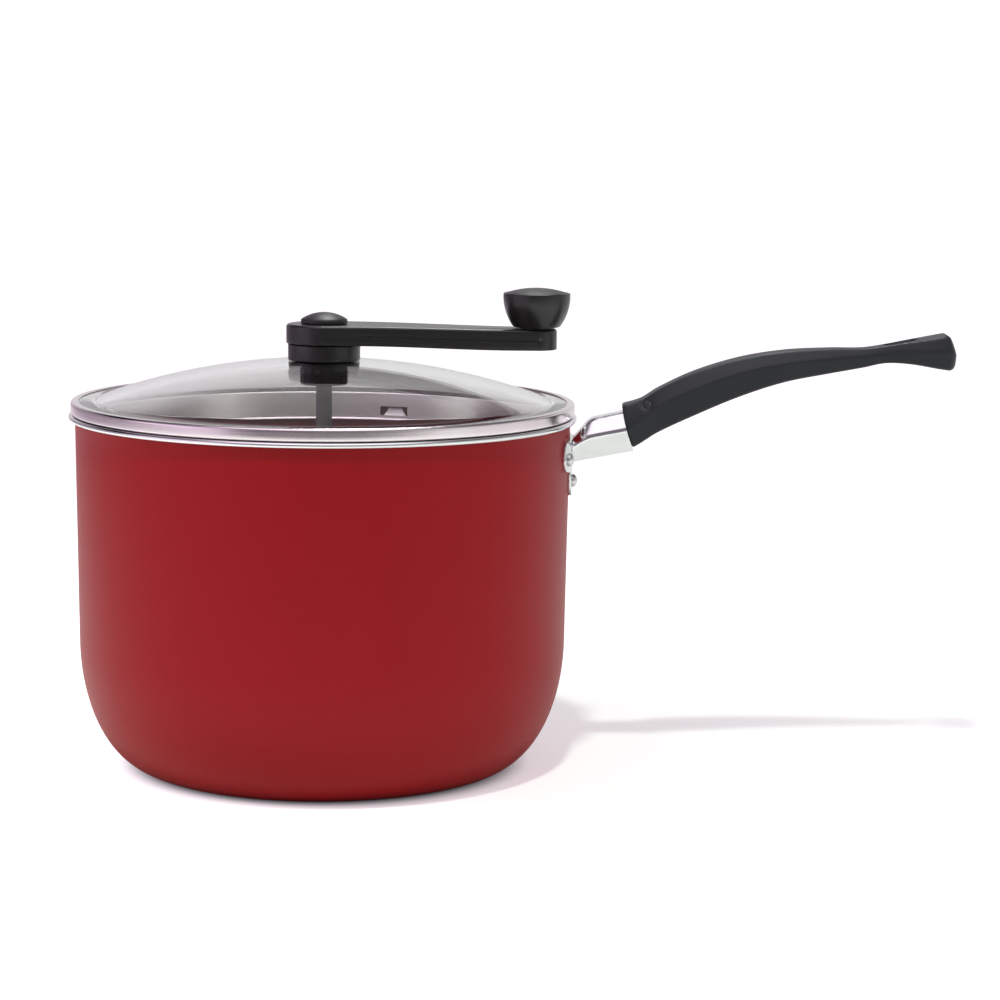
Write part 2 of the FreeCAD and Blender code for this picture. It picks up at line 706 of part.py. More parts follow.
def make_shaft():
    """Rod with a thinner journal in the boss and two flats that turn it."""
    shaft = turned((
        (0, SHAFT_LOW_Z),
        (SHAFT_R - SHAFT_TIP, SHAFT_LOW_Z),
        (SHAFT_R, SHAFT_LOW_Z + SHAFT_TIP),
        (SHAFT_R, SHOULDER_Z),
        (JOURNAL_R, SHOULDER_Z),
        (JOURNAL_R, DRIVE_LOW_Z),
        (0, DRIVE_LOW_Z),
    ))
    shaft = shaft.fuse(drive_end(0.0).common(disc(8, DRIVE_LOW_Z - 0.5, DRIVE_TOP_Z)))
    shaft = shaft.cut(disc(SCREW_R + SEAT, SCREW_LOW_Z - 1, DRIVE_TOP_Z + 1))
    pin_hole = Part.makeCylinder(STIR_PIN_R + SEAT, 20, V(0, -10, STIR_PIN_Z), Y_AXIS)
    return shaft.cut(pin_hole).removeSplitter()


def make_crank_arm():
    """Moulded arm: a round hub, a tapering arm and a round end that carries the knob."""
    lean = math.asin((HUB_R - ARM_END_R) / ARM_LENGTH)
    sin_lean = math.sin(lean)
    cos_lean = math.cos(lean)
    hub_side = (HUB_R * sin_lean, HUB_R * cos_lean)
    end_side = (ARM_LENGTH + ARM_END_R * sin_lean, ARM_END_R * cos_lean)
    base_z = HUB_LOW_Z - 5

    def at(x, y):
        return V(x, y, base_z)

    plan = Part.Wire([
        Part.Arc(at(hub_side[0], hub_side[1]), at(-HUB_R, 0), at(hub_side[0], -hub_side[1])).toShape(),
        Part.makeLine(at(hub_side[0], -hub_side[1]), at(end_side[0], -end_side[1])),
        Part.Arc(at(end_side[0], -end_side[1]), at(ARM_LENGTH + ARM_END_R, 0),
                 at(end_side[0], end_side[1])).toShape(),
        Part.makeLine(at(end_side[0], end_side[1]), at(hub_side[0], hub_side[1])),
    ])
    arm = Part.Face(plan).extrude(V(0, 0, 20))
    side_view = (
        (-HUB_R - 1, HUB_LOW_Z),
        (HUB_R, HUB_LOW_Z),
        (ARM_LENGTH - ARM_END_R, ARM_END_LOW_Z),
        (ARM_LENGTH + ARM_END_R + 1, ARM_END_LOW_Z),
        (ARM_LENGTH + ARM_END_R + 1, ARM_END_TOP_Z),
        (ARM_LENGTH - ARM_END_R, ARM_END_TOP_Z),
        (HUB_R, HUB_TOP_Z),
        (-HUB_R - 1, HUB_TOP_Z),
    )
    arm = arm.common(slab(side_view, 30.0))
    rim_edges = []
    for edge in arm.Edges:
        box = edge.BoundBox
        across = box.XMax - box.XMin < 1
        if box.ZMin > ARM_END_TOP_Z - 1 and not across:
            rim_edges.append(edge)
    arm = arm.makeFillet(ARM_ROUND, rim_edges)
    arm = arm.cut(drive_end(FIT)).cut(disc(RECESS_R, RECESS_Z, HUB_TOP_Z + 5))
    head_space = ARM_END_LOW_Z + AXLE_SUNK + AXLE_HEAD_THICK
    arm = arm.cut(disc(AXLE_HEAD_R + 0.2, ARM_END_LOW_Z - 5, head_space, ARM_LENGTH))
    return arm.cut(disc(AXLE_R + SEAT, ARM_END_LOW_Z - 5, HUB_TOP_Z + 5, ARM_LENGTH))


def make_cap():
    """Domed cap that snaps into the screw recess of the hub."""
    spigot_out = RECESS_R - 0.1
    spigot_in = RECESS_R - 1.4
    low = RECESS_Z + 0.9
    top = HUB_TOP_Z + 0.02
    return turned((
        (0, top),
        (spigot_in, top),
        (spigot_in, low),
        (spigot_out, low),
        (spigot_out, top),
        (CAP_R - 0.5, top),
        (CAP_R - 0.15, top + 0.15, "arc"),
        (CAP_R, top + 0.5),
        (CAP_R, CAP_SIDE_Z),
        dome_middle(CAP_R, CAP_SIDE_Z, CAP_TOP_Z),
        (0, CAP_TOP_Z),
    ))


def make_crank_screw():
    """Pan-head screw that holds the arm on the shaft."""
    head_low = RECESS_Z + CRANK_WASHER_THICK
    head_top = HUB_TOP_Z - 0.35
    screw = turned((
        (0, SCREW_LOW_Z),
        (SCREW_R, SCREW_LOW_Z),
        (SCREW_R, head_low),
        (SCREW_HEAD_R, head_low),
        (SCREW_HEAD_R, head_top - SCREW_DOME),
        dome_middle(SCREW_HEAD_R, head_top - SCREW_DOME, head_top),
        (0, head_top),
    ))
    corner = V(-SCREW_HEAD_R, -SLOT_WIDTH / 2, head_top - 1.0)
    return screw.cut(Part.makeBox(2 * SCREW_HEAD_R, SLOT_WIDTH, 1.2, corner))


def make_knob_body():
    """Bowl-shaped knob, wider at the top, with a pocket for the axle's end."""
    bore = AXLE_R + FIT
    insert_z = KNOB_RIM_Z - KNOB_INSERT_THICK
    edge = 0.5
    rim = 0.6
    return turned((
        (bore, KNOB_LOW_Z),
        (KNOB_FOOT_R - edge, KNOB_LOW_Z),
        quarter(KNOB_FOOT_R - edge, KNOB_LOW_Z + edge, edge, 1, -1),
        (KNOB_FOOT_R, KNOB_LOW_Z + edge),
        (KNOB_BELLY[0], KNOB_BELLY[1], "arc"),
        (KNOB_R, KNOB_RIM_Z - 3 * rim),
        (KNOB_R, KNOB_RIM_Z - rim),
        quarter(KNOB_R - rim, KNOB_RIM_Z - rim, rim, 1, 1),
        (KNOB_R - rim, KNOB_RIM_Z),
        (KNOB_INSERT_R + SEAT, KNOB_RIM_Z),
        (KNOB_INSERT_R + SEAT, insert_z),
        (KNOB_POCKET_R, insert_z),
        (KNOB_POCKET_R, KNOB_POCKET_Z),
        (bore, KNOB_POCKET_Z),
    ), ARM_LENGTH)


def make_knob_insert():
    """Slightly domed disc that closes the knob."""
    low = KNOB_RIM_Z - KNOB_INSERT_THICK
    side = KNOB_RIM_Z + 0.05
    return turned((
        (0, low),
        (KNOB_INSERT_R, low),
        (KNOB_INSERT_R, side),
        dome_middle(KNOB_INSERT_R, side, KNOB_TOP_Z),
        (0, KNOB_TOP_Z),
    ), ARM_LENGTH)


def make_knob_axle():
    """Steel axle pressed into the arm from below, its head sunk in the arm."""
    head_low = ARM_END_LOW_Z + AXLE_SUNK
    head_top = head_low + AXLE_HEAD_THICK - SEAT
    edge = 0.5
    return turned((
        (0, head_low),
        (AXLE_HEAD_R - edge, head_low),
        (AXLE_HEAD_R, head_low + edge),
        (AXLE_HEAD_R, head_top),
        (AXLE_R, head_top),
        (AXLE_R, AXLE_TOP_Z - edge),
        (AXLE_R - edge, AXLE_TOP_Z),
        (0, AXLE_TOP_Z),
    ), ARM_LENGTH)


# ---- stirrer ----------------------------------------------------------------

def wire_along(edges):
    """Round wire swept along joined edges that start near the shaft."""
    path = Part.Wire(edges)
    first = edges[0]
    start = first.valueAt(first.FirstParameter)
    direction = first.tangentAt(first.FirstParameter)
    profile = Part.Wire([Part.makeCircle(STIR_WIRE_R, start, direction)])
    return path.makePipeShell([profile], True, True)


def wire_levels():
    """Heights of a wire's axis on the floor run and where it leaves the hub."""
    floor_z = FLOOR + STIR_GAP + STIR_WIRE_R
    return floor_z, floor_z + STIR_RISE


def stir_wire(reach, last_edge=None):
    """Wire that leaves the hub, goes down in an S bend and runs out to reach."""
    floor_z, hub_z = wire_levels()
    quarter_x = (STIR_BEND_OUT - STIR_BEND_IN) * 0.28
    quarter_z = STIR_RISE * 0.138
    bend_in = V(STIR_BEND_IN, 0, hub_z)
    bend_out = V(STIR_BEND_OUT, 0, floor_z)
    half_way = (bend_in + bend_out) / 2
    upper = bend_in + V(quarter_x, 0, -quarter_z)
    lower = bend_out + V(-quarter_x, 0, quarter_z)
    edges = [
        Part.makeLine(V(SHAFT_R + 0.1, 0, hub_z), bend_in),
        Part.Arc(bend_in, upper, half_way).toShape(),
        Part.Arc(half_way, lower, bend_out).toShape(),
        Part.makeLine(bend_out, V(reach, 0, floor_z)),
    ]
    if last_edge is not None:
        edges.append(last_edge)
    return wire_along(edges)


def make_stir_long():
    """Wire that sweeps the floor and follows the pot's lower corner."""
    floor_z = wire_levels()[0]
    corner_r = LOWER_R - WALL - BASE_R - STIR_GAP - STIR_WIRE_R
    corner_h = CORNER_TOP_Z - floor_z

    def at(degrees):
        angle = math.radians(degrees)
        x = BASE_R + corner_r * math.sin(angle)
        return V(x, 0, CORNER_TOP_Z - corner_h * math.cos(angle))

    corner = Part.Arc(at(0), at(STIR_LONG_END / 2), at(STIR_LONG_END)).toShape()
    return stir_wire(BASE_R, corner)


def make_stir_short():
    """Straight wire on the other side of the hub, for the middle of the floor."""
    wire = stir_wire(STIR_SHORT_R)
    wire.rotate(V(0, 0, 0), Z_AXIS, 180)
    return wire


def make_stir_hub():
    """Steel block at the foot of the shaft that holds both wires."""
    hub_z = wire_levels()[1]
    hub = turned((
        (SHAFT_R + SEAT, STIR_HUB_LOW_Z),
        (STIR_HUB_R - STIR_HUB_BEVEL, STIR_HUB_LOW_Z),
        (STIR_HUB_R, STIR_HUB_LOW_Z + STIR_HUB_BEVEL),
        (STIR_HUB_R, STIR_HUB_TOP_Z - STIR_HUB_BEVEL),
        (STIR_HUB_R - STIR_HUB_BEVEL, STIR_HUB_TOP_Z),
        (SHAFT_R + SEAT, STIR_HUB_TOP_Z),
    ))
    for azimuth in (0, 180):
        hub = hub.cut(along_x(0, hub_z, STIR_WIRE_R + SEAT, 20, azimuth))
    return hub.cut(Part.makeCylinder(STIR_PIN_R + SEAT, 20, V(0, -10, STIR_PIN_Z), Y_AXIS))


def make_stir_pin():
    half = STIR_HUB_R - 0.1
    return Part.makeCylinder(STIR_PIN_R, 2 * half, V(0, -half, STIR_PIN_Z), Y_AXIS)


# ---- parts list -------------------------------------------------------------

os.makedirs("parts", exist_ok=True)

export("pot_body", make_pot())
export("handle_bracket", make_bracket())
export("bracket_rivets", make_rivets())
export("handle_tang", make_tang())
export("handle_grip", make_grip())
export("grip_pin", make_grip_pin())

export("lid_glass", make_lid_glass())
export("lid_gasket", make_lid_gasket())
export("lid_ring", make_lid_ring())
export("bearing_boss", make_boss())
export("boss_gasket", domed_washer(BOSS_GASKET_R, SPIGOT_R + SEAT, BOSS_SEAT_Z, GLASS_R,
                                   GLASS_TOP_Z, True))
export("nut_gasket", domed_washer(NUT_GASKET_R, SPIGOT_R + SEAT, NUT_TOP_Z, GLASS_R - GLASS_THICK,
                                  GLASS_TOP_Z - GLASS_THICK, False))
export("boss_nut", make_nut())
export("upper_bush", tube(BUSH_R, JOURNAL_R + FIT, UPPER_BUSH_LOW_Z, BOSS_TOP_Z))
export("lower_bush", tube(BUSH_R, JOURNAL_R + FIT, SPIGOT_LOW_Z + 0.1, LOWER_BUSH_TOP_Z))
export("thrust_washer", tube(THRUST_R, JOURNAL_R + GAP, BOSS_TOP_Z, BOSS_TOP_Z + THRUST_THICK))

export("drive_shaft", make_shaft())
export("crank_arm", make_crank_arm())
export("crank_washer", tube(CRANK_WASHER_R, SCREW_R + 0.1, RECESS_Z, RECESS_Z + CRANK_WASHER_THICK))
export("crank_screw", make_crank_screw())
export("crank_cap", make_cap())
export("stirrer_hub", make_stir_hub())
export("stirrer_pin", make_stir_pin())
export("stirrer_wire_long", make_stir_long())
export("stirrer_wire_short", make_stir_short())
export("knob_axle", make_knob_axle())
export("knob_washer", tube(KNOB_WASHER_R, AXLE_R + SEAT, ARM_END_TOP_Z,
                           ARM_END_TOP_Z + KNOB_WASHER_THICK, ARM_LENGTH))
export("knob_push_nut", tube(PUSH_NUT_R, AXLE_R + SEAT, KNOB_POCKET_Z + GAP,
                             KNOB_POCKET_Z + GAP + PUSH_NUT_THICK, ARM_LENGTH))
export("knob_body", make_knob_body())
export("knob_insert", make_knob_insert())
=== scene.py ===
import math

import bmesh
import bpy
from mathutils import Matrix, Vector


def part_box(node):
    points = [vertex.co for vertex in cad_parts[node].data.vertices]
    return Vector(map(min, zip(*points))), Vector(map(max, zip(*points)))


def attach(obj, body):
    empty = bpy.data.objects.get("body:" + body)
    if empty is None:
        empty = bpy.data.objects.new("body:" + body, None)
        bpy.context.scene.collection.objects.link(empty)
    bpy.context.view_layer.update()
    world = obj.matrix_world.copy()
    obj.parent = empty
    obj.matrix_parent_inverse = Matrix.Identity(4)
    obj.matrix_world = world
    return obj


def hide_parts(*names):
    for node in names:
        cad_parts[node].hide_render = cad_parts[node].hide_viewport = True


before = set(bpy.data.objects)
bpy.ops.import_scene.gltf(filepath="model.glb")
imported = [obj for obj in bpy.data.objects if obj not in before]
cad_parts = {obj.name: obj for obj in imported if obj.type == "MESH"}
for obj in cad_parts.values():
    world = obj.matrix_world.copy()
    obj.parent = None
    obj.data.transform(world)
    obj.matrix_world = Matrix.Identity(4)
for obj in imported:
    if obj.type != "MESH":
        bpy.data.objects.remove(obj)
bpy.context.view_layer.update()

# ---- Pot ----------------------------------------------------------------------
# One pressed aluminium shell. It is sprayed with red enamel outside and with a dark
# non-stick lining inside, while the rolled rim and the turned base stay bare metal.

MM = 0.001


class Value:
    """A shader socket that works in sums: the operators add Math nodes."""

    def __init__(self, nodes, socket):
        self.nodes = nodes
        self.socket = socket

    def math(self, operation, *others):
        return self.nodes.node("ShaderNodeMath", {"operation": operation}, [self, *others])

    def __add__(self, other):
        return self.math("ADD", other)

    def __mul__(self, other):
        return self.math("MULTIPLY", other)

    def __sub__(self, other):
        return self.math("SUBTRACT", other)

    def __rsub__(self, other):
        return self * -1.0 + other

    __radd__ = __add__
    __rmul__ = __mul__


class Nodes:
    """A node tree, with one method that adds any node and others for what comes up often."""

    def __init__(self, tree):
        self.tree = tree

    def node(self, kind, settings=None, sockets=(), out=0):
        """Adds a node, sets what it is first, then gives its sockets values or links."""
        made = self.tree.nodes.new(kind)
        for setting, value in (settings or {}).items():
            setattr(made, setting, value)
        pairs = sockets.items() if isinstance(sockets, dict) else enumerate(sockets)
        for key, value in pairs:
            if isinstance(value, Value):
                self.tree.links.new(value.socket, made.inputs[key])
            else:
                made.inputs[key].default_value = value
        return Value(self, made.outputs[out])

    def vector(self, operation, *sockets, out=0):
        return self.node("ShaderNodeVectorMath", {"operation": operation}, sockets, out)

    def place(self):
        """Where the shaded spot lies on the piece, in metres."""
        return self.node("ShaderNodeTexCoord", out="Object")

    def from_axis(self):
        """Distance of the shaded spot from the Z axis."""
        return self.vector("LENGTH", self.vector("MULTIPLY", self.place(), (1, 1, 0)), out=1)

    def ramp(self, value, start, end, low=0.0, high=1.0, shape="SMOOTHSTEP"):
        """Change from low to high while a value goes from start to end."""
        return self.node("ShaderNodeMapRange", {"interpolation_type": shape},
                         [value, start, end, low, high])

    def is_ray(self, kind):
        """1 for rays of a kind, such as Glossy, and 0 for all others."""
        return self.node("ShaderNodeLightPath", out=f"Is {kind} Ray")

    def blend(self, amount, first, second):
        """Mixes two colours."""
        return self.node("ShaderNodeMix", {"data_type": "RGBA"}, {0: amount, 6: first, 7: second}, out=2)

    def grain(self, size_mm, detail=2.0, stretch=(1.0, 1.0, 1.0)):
        """Noise from 0 to 1, whose patches are about size_mm across."""
        return self.node("ShaderNodeTexNoise", None, {
            "Vector": self.vector("MULTIPLY", self.place(), stretch),
            "Scale": 1.0 / (size_mm * MM),
            "Detail": detail,
        })

    def relief(self, height, depth_mm, strength=1.0):
        """Bump of a height from 0 to 1, as deep as depth_mm."""
        return self.node("ShaderNodeBump", None,
                         {"Strength": strength, "Distance": depth_mm * MM, "Height": height})


class Finish(Nodes):
    """A surface finish: one material with a Principled shader, and the nodes that vary it."""

    def __init__(self, name, constants):
        self.material = bpy.data.materials.new(name)
        self.material.use_nodes = True
        super().__init__(self.material.node_tree)
        self.shader = self.tree.nodes["Principled BSDF"]
        for socket, value in constants.items():
            self.shader.inputs[socket].default_value = value

    def shade(self, sockets):
        """Links what varies over the surface to the shader."""
        for socket, value in sockets.items():
            self.tree.links.new(value.socket, self.shader.inputs[socket])
        return self.material


def srgb(red, green, blue):
    """Colour from its screen values, 0 to 255."""
    return tuple((c / 255.0 / 12.92) if c <= 10 else ((c / 255.0 + 0.055) / 1.055) ** 2.4
                 for c in (red, green, blue)) + (1.0,)


def arc(centre_r, centre_z, radius, start, end, steps, radius_z=None):
    """Points of an arc in an outline; 0 degrees points outwards and 90 upwards."""
    angles = [math.radians(start + (end - start) * i / steps) for i in range(steps + 1)]
    return [(centre_r + radius * math.cos(a), centre_z + (radius_z or radius) * math.sin(a))
            for a in angles]


def line(start, end, steps):
    """Evenly spaced points of a straight stretch, without its first and last."""
    return [tuple(a + (b - a) * i / steps for a, b in zip(start, end)) for i in range(1, steps)]


def circle(steps):
    """Cosine and sine of evenly spaced angles round a circle."""
    return [(math.cos(2 * math.pi * i / steps), math.sin(2 * math.pi * i / steps)) for i in range(steps)]


def turned_mesh(outline, steps):
    """Points and faces of a closed outline of (radius, height), swept round the Z axis."""
    points = []
    rings = []
    for radius, height in outline:
        first = len(points)
        points += [(radius * c, radius * s, height) for c, s in circle(steps if radius > 1e-6 else 1)]
        rings.append(range(first, len(points)))
    faces = []
    for low, high in zip(rings, rings[1:] + rings[:1]):
        if len(low) == 1 and len(high) == 1:
            continue
        for i in range(steps):
            j = (i + 1) % steps
            corners = [low[i % len(low)], low[j % len(low)], high[j % len(high)], high[i % len(high)]]
            faces.append(list(dict.fromkeys(corners)))
    return points, faces


def make_piece(name, points, faces, sharp=35.0):
    """Object from points in millimetres, shaded smooth except at edges over the sharp angle."""
    mesh = bpy.data.meshes.new(name)
    mesh.from_pydata([Vector(p) * MM for p in points], [], faces)
    facing = bmesh.new()
    facing.from_mesh(mesh)
    bmesh.ops.recalc_face_normals(facing, faces=facing.faces)
    facing.to_mesh(mesh)
    facing.free()
    piece = bpy.data.objects.new(name, mesh)
    bpy.context.collection.objects.link(piece)
    soften(piece, sharp)
    return piece


def soften(piece, sharp=35.0):
    piece.data.shade_smooth()
    piece.data.set_sharp_from_angle(angle=math.radians(sharp))


def dress(piece, material, body, slot, *nodes):
    """Gives a piece that stands for CAD nodes its finish and body, and hides those nodes. The slot is not
    used.
    """
    piece.data.materials.clear()
    piece.data.materials.append(material)
    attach(piece, body)
    if nodes:
        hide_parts(*nodes)
    return piece


pot_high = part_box("pot_body")[1]
RIM_R = pot_high.x / MM
RIM_Z = pot_high.z / MM
BEAD_R = 1.2                    # of the rolled rim
BASE_R = 77.3                   # where the wall's rounded corner meets the flat base
BARE_BASE_R = 74.0
CORNER_Z = 58.5                 # where the corner meets the straight, slightly tapered wall
LOWER_R = 109.7
UPPER_R = 111.03
ENAMEL_TOP_Z = 157.3
WALL = 2.0
FLOOR = 3.0
MOUTH_ROUND = 1.5

inner_top = (UPPER_R - WALL, RIM_Z - MOUTH_ROUND)
pot_outline = (
    [(0, 0), (20, 0), (40, 0), (60, 0), (BARE_BASE_R - 0.1, 0), (BARE_BASE_R, 0)]
    + arc(BASE_R, CORNER_Z, LOWER_R - BASE_R, -90, 0, 36, radius_z=CORNER_Z)
    + line((LOWER_R, CORNER_Z), (UPPER_R, ENAMEL_TOP_Z), 10)
    + [(UPPER_R, ENAMEL_TOP_Z), (UPPER_R + 0.01, ENAMEL_TOP_Z + 0.06)]
    + arc(RIM_R - BEAD_R, RIM_Z - BEAD_R, BEAD_R, -152, 90, 16)
    + arc(inner_top[0] + MOUTH_ROUND, inner_top[1], MOUTH_ROUND, 90, 180, 6)
    + [(inner_top[0], inner_top[1] - 0.06)]
    + line(inner_top, (LOWER_R - WALL, CORNER_Z), 10)
    + arc(BASE_R, CORNER_Z, LOWER_R - WALL - BASE_R, 0, -90, 30, radius_z=CORNER_Z - FLOOR)
    + [(50, FLOOR), (25, FLOOR), (0, FLOOR)]
)
pot = make_piece("pot_shell", *turned_mesh(pot_outline, 256), sharp=60)


def wall_radius(height):
    """Outer radius of the pot's straight wall, in millimetres."""
    return LOWER_R + (UPPER_R - LOWER_R) * (height - CORNER_Z) / (ENAMEL_TOP_Z - CORNER_Z)


# where the bare metal and the lining lie, as weights at the points of the shell
for zone in ("bare", "lining"):
    weights = pot.data.attributes.new(zone, "FLOAT", "POINT").data
    for weight, vertex in zip(weights, pot.data.vertices):
        radius = vertex.co.xy.length / MM
        height = vertex.co.z / MM
        outer = wall_radius(max(height, CORNER_Z))
        inside = radius < min(outer - WALL / 2, inner_top[0] + 0.02) and height > FLOOR - 0.1
        if height < CORNER_Z:
            fall = (1 - (max(radius - BASE_R, 0) / (LOWER_R - 1 - BASE_R)) ** 2)
            inside = fall > 0 and height > CORNER_Z - (CORNER_Z - 1.5) * math.sqrt(fall)
        lined = inside and height <= inner_top[1] - 0.05
        rim = height > ENAMEL_TOP_Z + 0.03 and not lined
        base = height < 0.01 and radius < BARE_BASE_R - 0.05
        weight.value = float(lined) if zone == "lining" else float(rim or base)

enamel = Finish("red_enamel", {"Specular IOR Level": 0.2, "IOR": 1.5})
bare = enamel.node("ShaderNodeAttribute", {"attribute_name": "bare"}, out=2)
lining = enamel.node("ShaderNodeAttribute", {"attribute_name": "lining"}, out=2)
cloud = enamel.grain(38.0, 3.0, (1.0, 1.0, 0.45))
peel = enamel.grain(0.9, 2.0)
speck = enamel.grain(0.35, 1.0)
red = enamel.blend(cloud, srgb(152, 12, 22), srgb(158, 15, 25))
coated = enamel.blend(lining, red, srgb(118, 38, 48))
TURNING_MARKS = 5200.0          # radians per metre across the bare base
turning = (enamel.from_axis() * TURNING_MARKS).math("SINE") * 0.5 + 0.5
surface = peel * (1.0 - bare) + speck * lining + turning * bare * 0.5
pot_material = enamel.shade({
    "Base Color": enamel.blend(bare, coated, srgb(226, 226, 228)),
    "Roughness": 0.40 + peel * 0.08 + lining * 0.12 - bare * 0.26,
    "Metallic": bare,
    "Normal": enamel.relief(surface, 0.02, 0.5),
})
dress(pot, pot_material, "pot", "pot_enamel", "pot_body")

# ---- Handle bracket -----------------------------------------------------------
# Stamped from 1.5 mm stainless sheet: a shield-shaped plate that follows the wall and a
# six-sided neck that is open below. It is polished, and three rivets hold it.

SHEET = 1.5
UPPER_RIVET = (9.7, 142.4)      # azimuth in degrees, and height
LOWER_RIVET = (0.0, 130.7)
NECK_HALF = (5.6, 11.4, 7.0)
NECK_STATIONS = (
    (109.0, 149.6, 148.2, 139.0),
    (112.5, 151.0, 149.3, 139.9),
    (116.0, 154.7, 150.6, 140.7),
    (119.6, 158.7, 151.9, 141.5),
    (125.0, 160.3, 153.1, 142.5),
    (134.0, 162.4, 154.9, 144.3),
    (142.0, 164.6, 156.6, 145.9),
)
GRIP_FRONT = 134.0
HIDDEN_LOW = 153.6              # lower edge of the neck inside the grip
PLATE_TOP = 150.4
PLATE_LOW = 124.3
PLATE_EDGE = (
    (0.0, PLATE_TOP, 0.0),
    (26.5, PLATE_TOP, 3.0),
    (26.5, 137.9, 5.0),
    (11.0, 135.8, 4.0),
    (8.0, PLATE_LOW, 6.0),
    (0.0, PLATE_LOW - 0.01, 0.0),
)


def hermite(t, first, slope_in, second, slope_out):
    """Smooth value between two as t goes from 0 to 1, with a slope at each."""
    return ((2 * t ** 3 - 3 * t ** 2 + 1) * first + (t ** 3 - 2 * t ** 2 + t) * slope_in
            + (3 * t ** 2 - 2 * t ** 3) * second + (t ** 3 - t ** 2) * slope_out)


def between(stations, x):
    """Smooth values at x from stations whose first number is their place along X."""
    last = len(stations) - 2
    k = next((i for i in range(last) if x < stations[i + 1][0]), last)
    first, second = stations[k], stations[k + 1]
    span = second[0] - first[0]
    before = stations[max(k - 1, 0)]
    after = stations[min(k + 2, len(stations) - 1)]
    return [hermite((x - first[0]) / span,
                    first[i], (second[i] - before[i]) / (second[0] - before[0]) * span,
                    second[i], (after[i] - first[i]) / (after[0] - first[0]) * span)
            for i in range(1, len(first))]


def rounded(corners, closed, run_steps=4, turn_steps=6):
    """Points along a run of (y, z, radius) corners, each turned with its radius."""
    points = []
    count = len(corners)
    for i, (y, z, radius) in enumerate(corners):
        here = Vector((y, z))
        if not closed and i in (0, count - 1):
            points.append([here])
            continue
        back = (Vector(corners[i - 1][:2]) - here).normalized()
        ahead = (Vector(corners[(i + 1) % count][:2]) - here).normalized()
        half = back.angle(ahead) / 2
        centre = here + (back + ahead).normalized() * radius / math.sin(half)
        start = here + back * radius / math.tan(half) - centre
        turn = start.angle_signed(here + ahead * radius / math.tan(half) - centre)
        points.append([centre + Matrix.Rotation(-turn * k / turn_steps, 2) @ start
                       for k in range(turn_steps + 1)])
    path = []
    for i, group in enumerate(points):
        path += group
        if closed or i < count - 1:
            following = points[(i + 1) % count][0]
            path += [group[-1].lerp(following, k / run_steps) for k in range(1, run_steps)]
    return path


def skin(rings, closed):
    """Points and faces of a surface through rings of the same number of points."""
    size = len(rings[0])
    faces = []
    for k in range(len(rings) - 1):
        for i in range(size if closed else size - 1):
            j = (i + 1) % size
            faces.append((k * size + i, k * size + j, (k + 1) * size + j, (k + 1) * size + i))
    return [point for ring in rings for point in ring], faces


def solid(name, rings, sharp=35.0):
    """Closed piece through rings of the same number of points."""
    points, faces = skin(rings, True)
    size = len(rings[0])
    ends = [list(reversed(range(size))), list(range(len(points) - size, len(points)))]
    return make_piece(name, points, faces + ends, sharp)


def apply_modifiers(piece):
    """Turns a piece's modifiers into its own mesh."""
    graph = bpy.context.evaluated_depsgraph_get()
    shaped = bpy.data.meshes.new_from_object(piece.evaluated_get(graph))
    piece.modifiers.clear()
    piece.data = shaped


def thicken(piece, side, even):
    """Gives a surface the thickness of the sheet, towards one side of it."""
    sheet = piece.modifiers.new("sheet", "SOLIDIFY")
    sheet.thickness = SHEET * MM
    sheet.offset = side
    sheet.use_even_offset = even


def carve(piece, rings):
    """Cuts the solid through some rings out of a closed piece."""
    cutter = solid("cutter", rings)
    cut = piece.modifiers.new("cut", "BOOLEAN")
    cut.operation = "DIFFERENCE"
    cut.solver = "EXACT"
    cut.object = cutter
    apply_modifiers(piece)
    bpy.data.objects.remove(cutter)


def join(name, *parts):
    """One piece from several meshes."""
    joined = bmesh.new()
    for part in parts:
        joined.from_mesh(part.data)
    mesh = bpy.data.meshes.new(name)
    joined.to_mesh(mesh)
    joined.free()
    for part in parts:
        bpy.data.objects.remove(part)
    piece = bpy.data.objects.new(name, mesh)
    bpy.context.collection.objects.link(piece)
    return piece


plate_edge = rounded(PLATE_EDGE, closed=False, run_steps=6, turn_steps=10)


def plate_half_width(height):
    """Half width of the bracket's plate at a height: wings above, a lobe below."""
    for upper, lower in zip(plate_edge, plate_edge[1:]):
        if lower.y < height <= upper.y:
            return upper.x + (lower.x - upper.x) * (upper.y - height) / (upper.y - lower.y)
    return plate_edge[-1].x


FRONT_TOP = 166.2               # the grip's front runs back below this height
FRONT_BACK = 5.3                # and lies this far back 20 mm lower


def front_edge(z):
    """How far the slanted, hollow-curved front lies behind GRIP_FRONT at a height."""
    return FRONT_BACK * (max(FRONT_TOP - z, 0.0) / 20.0) ** 1.53


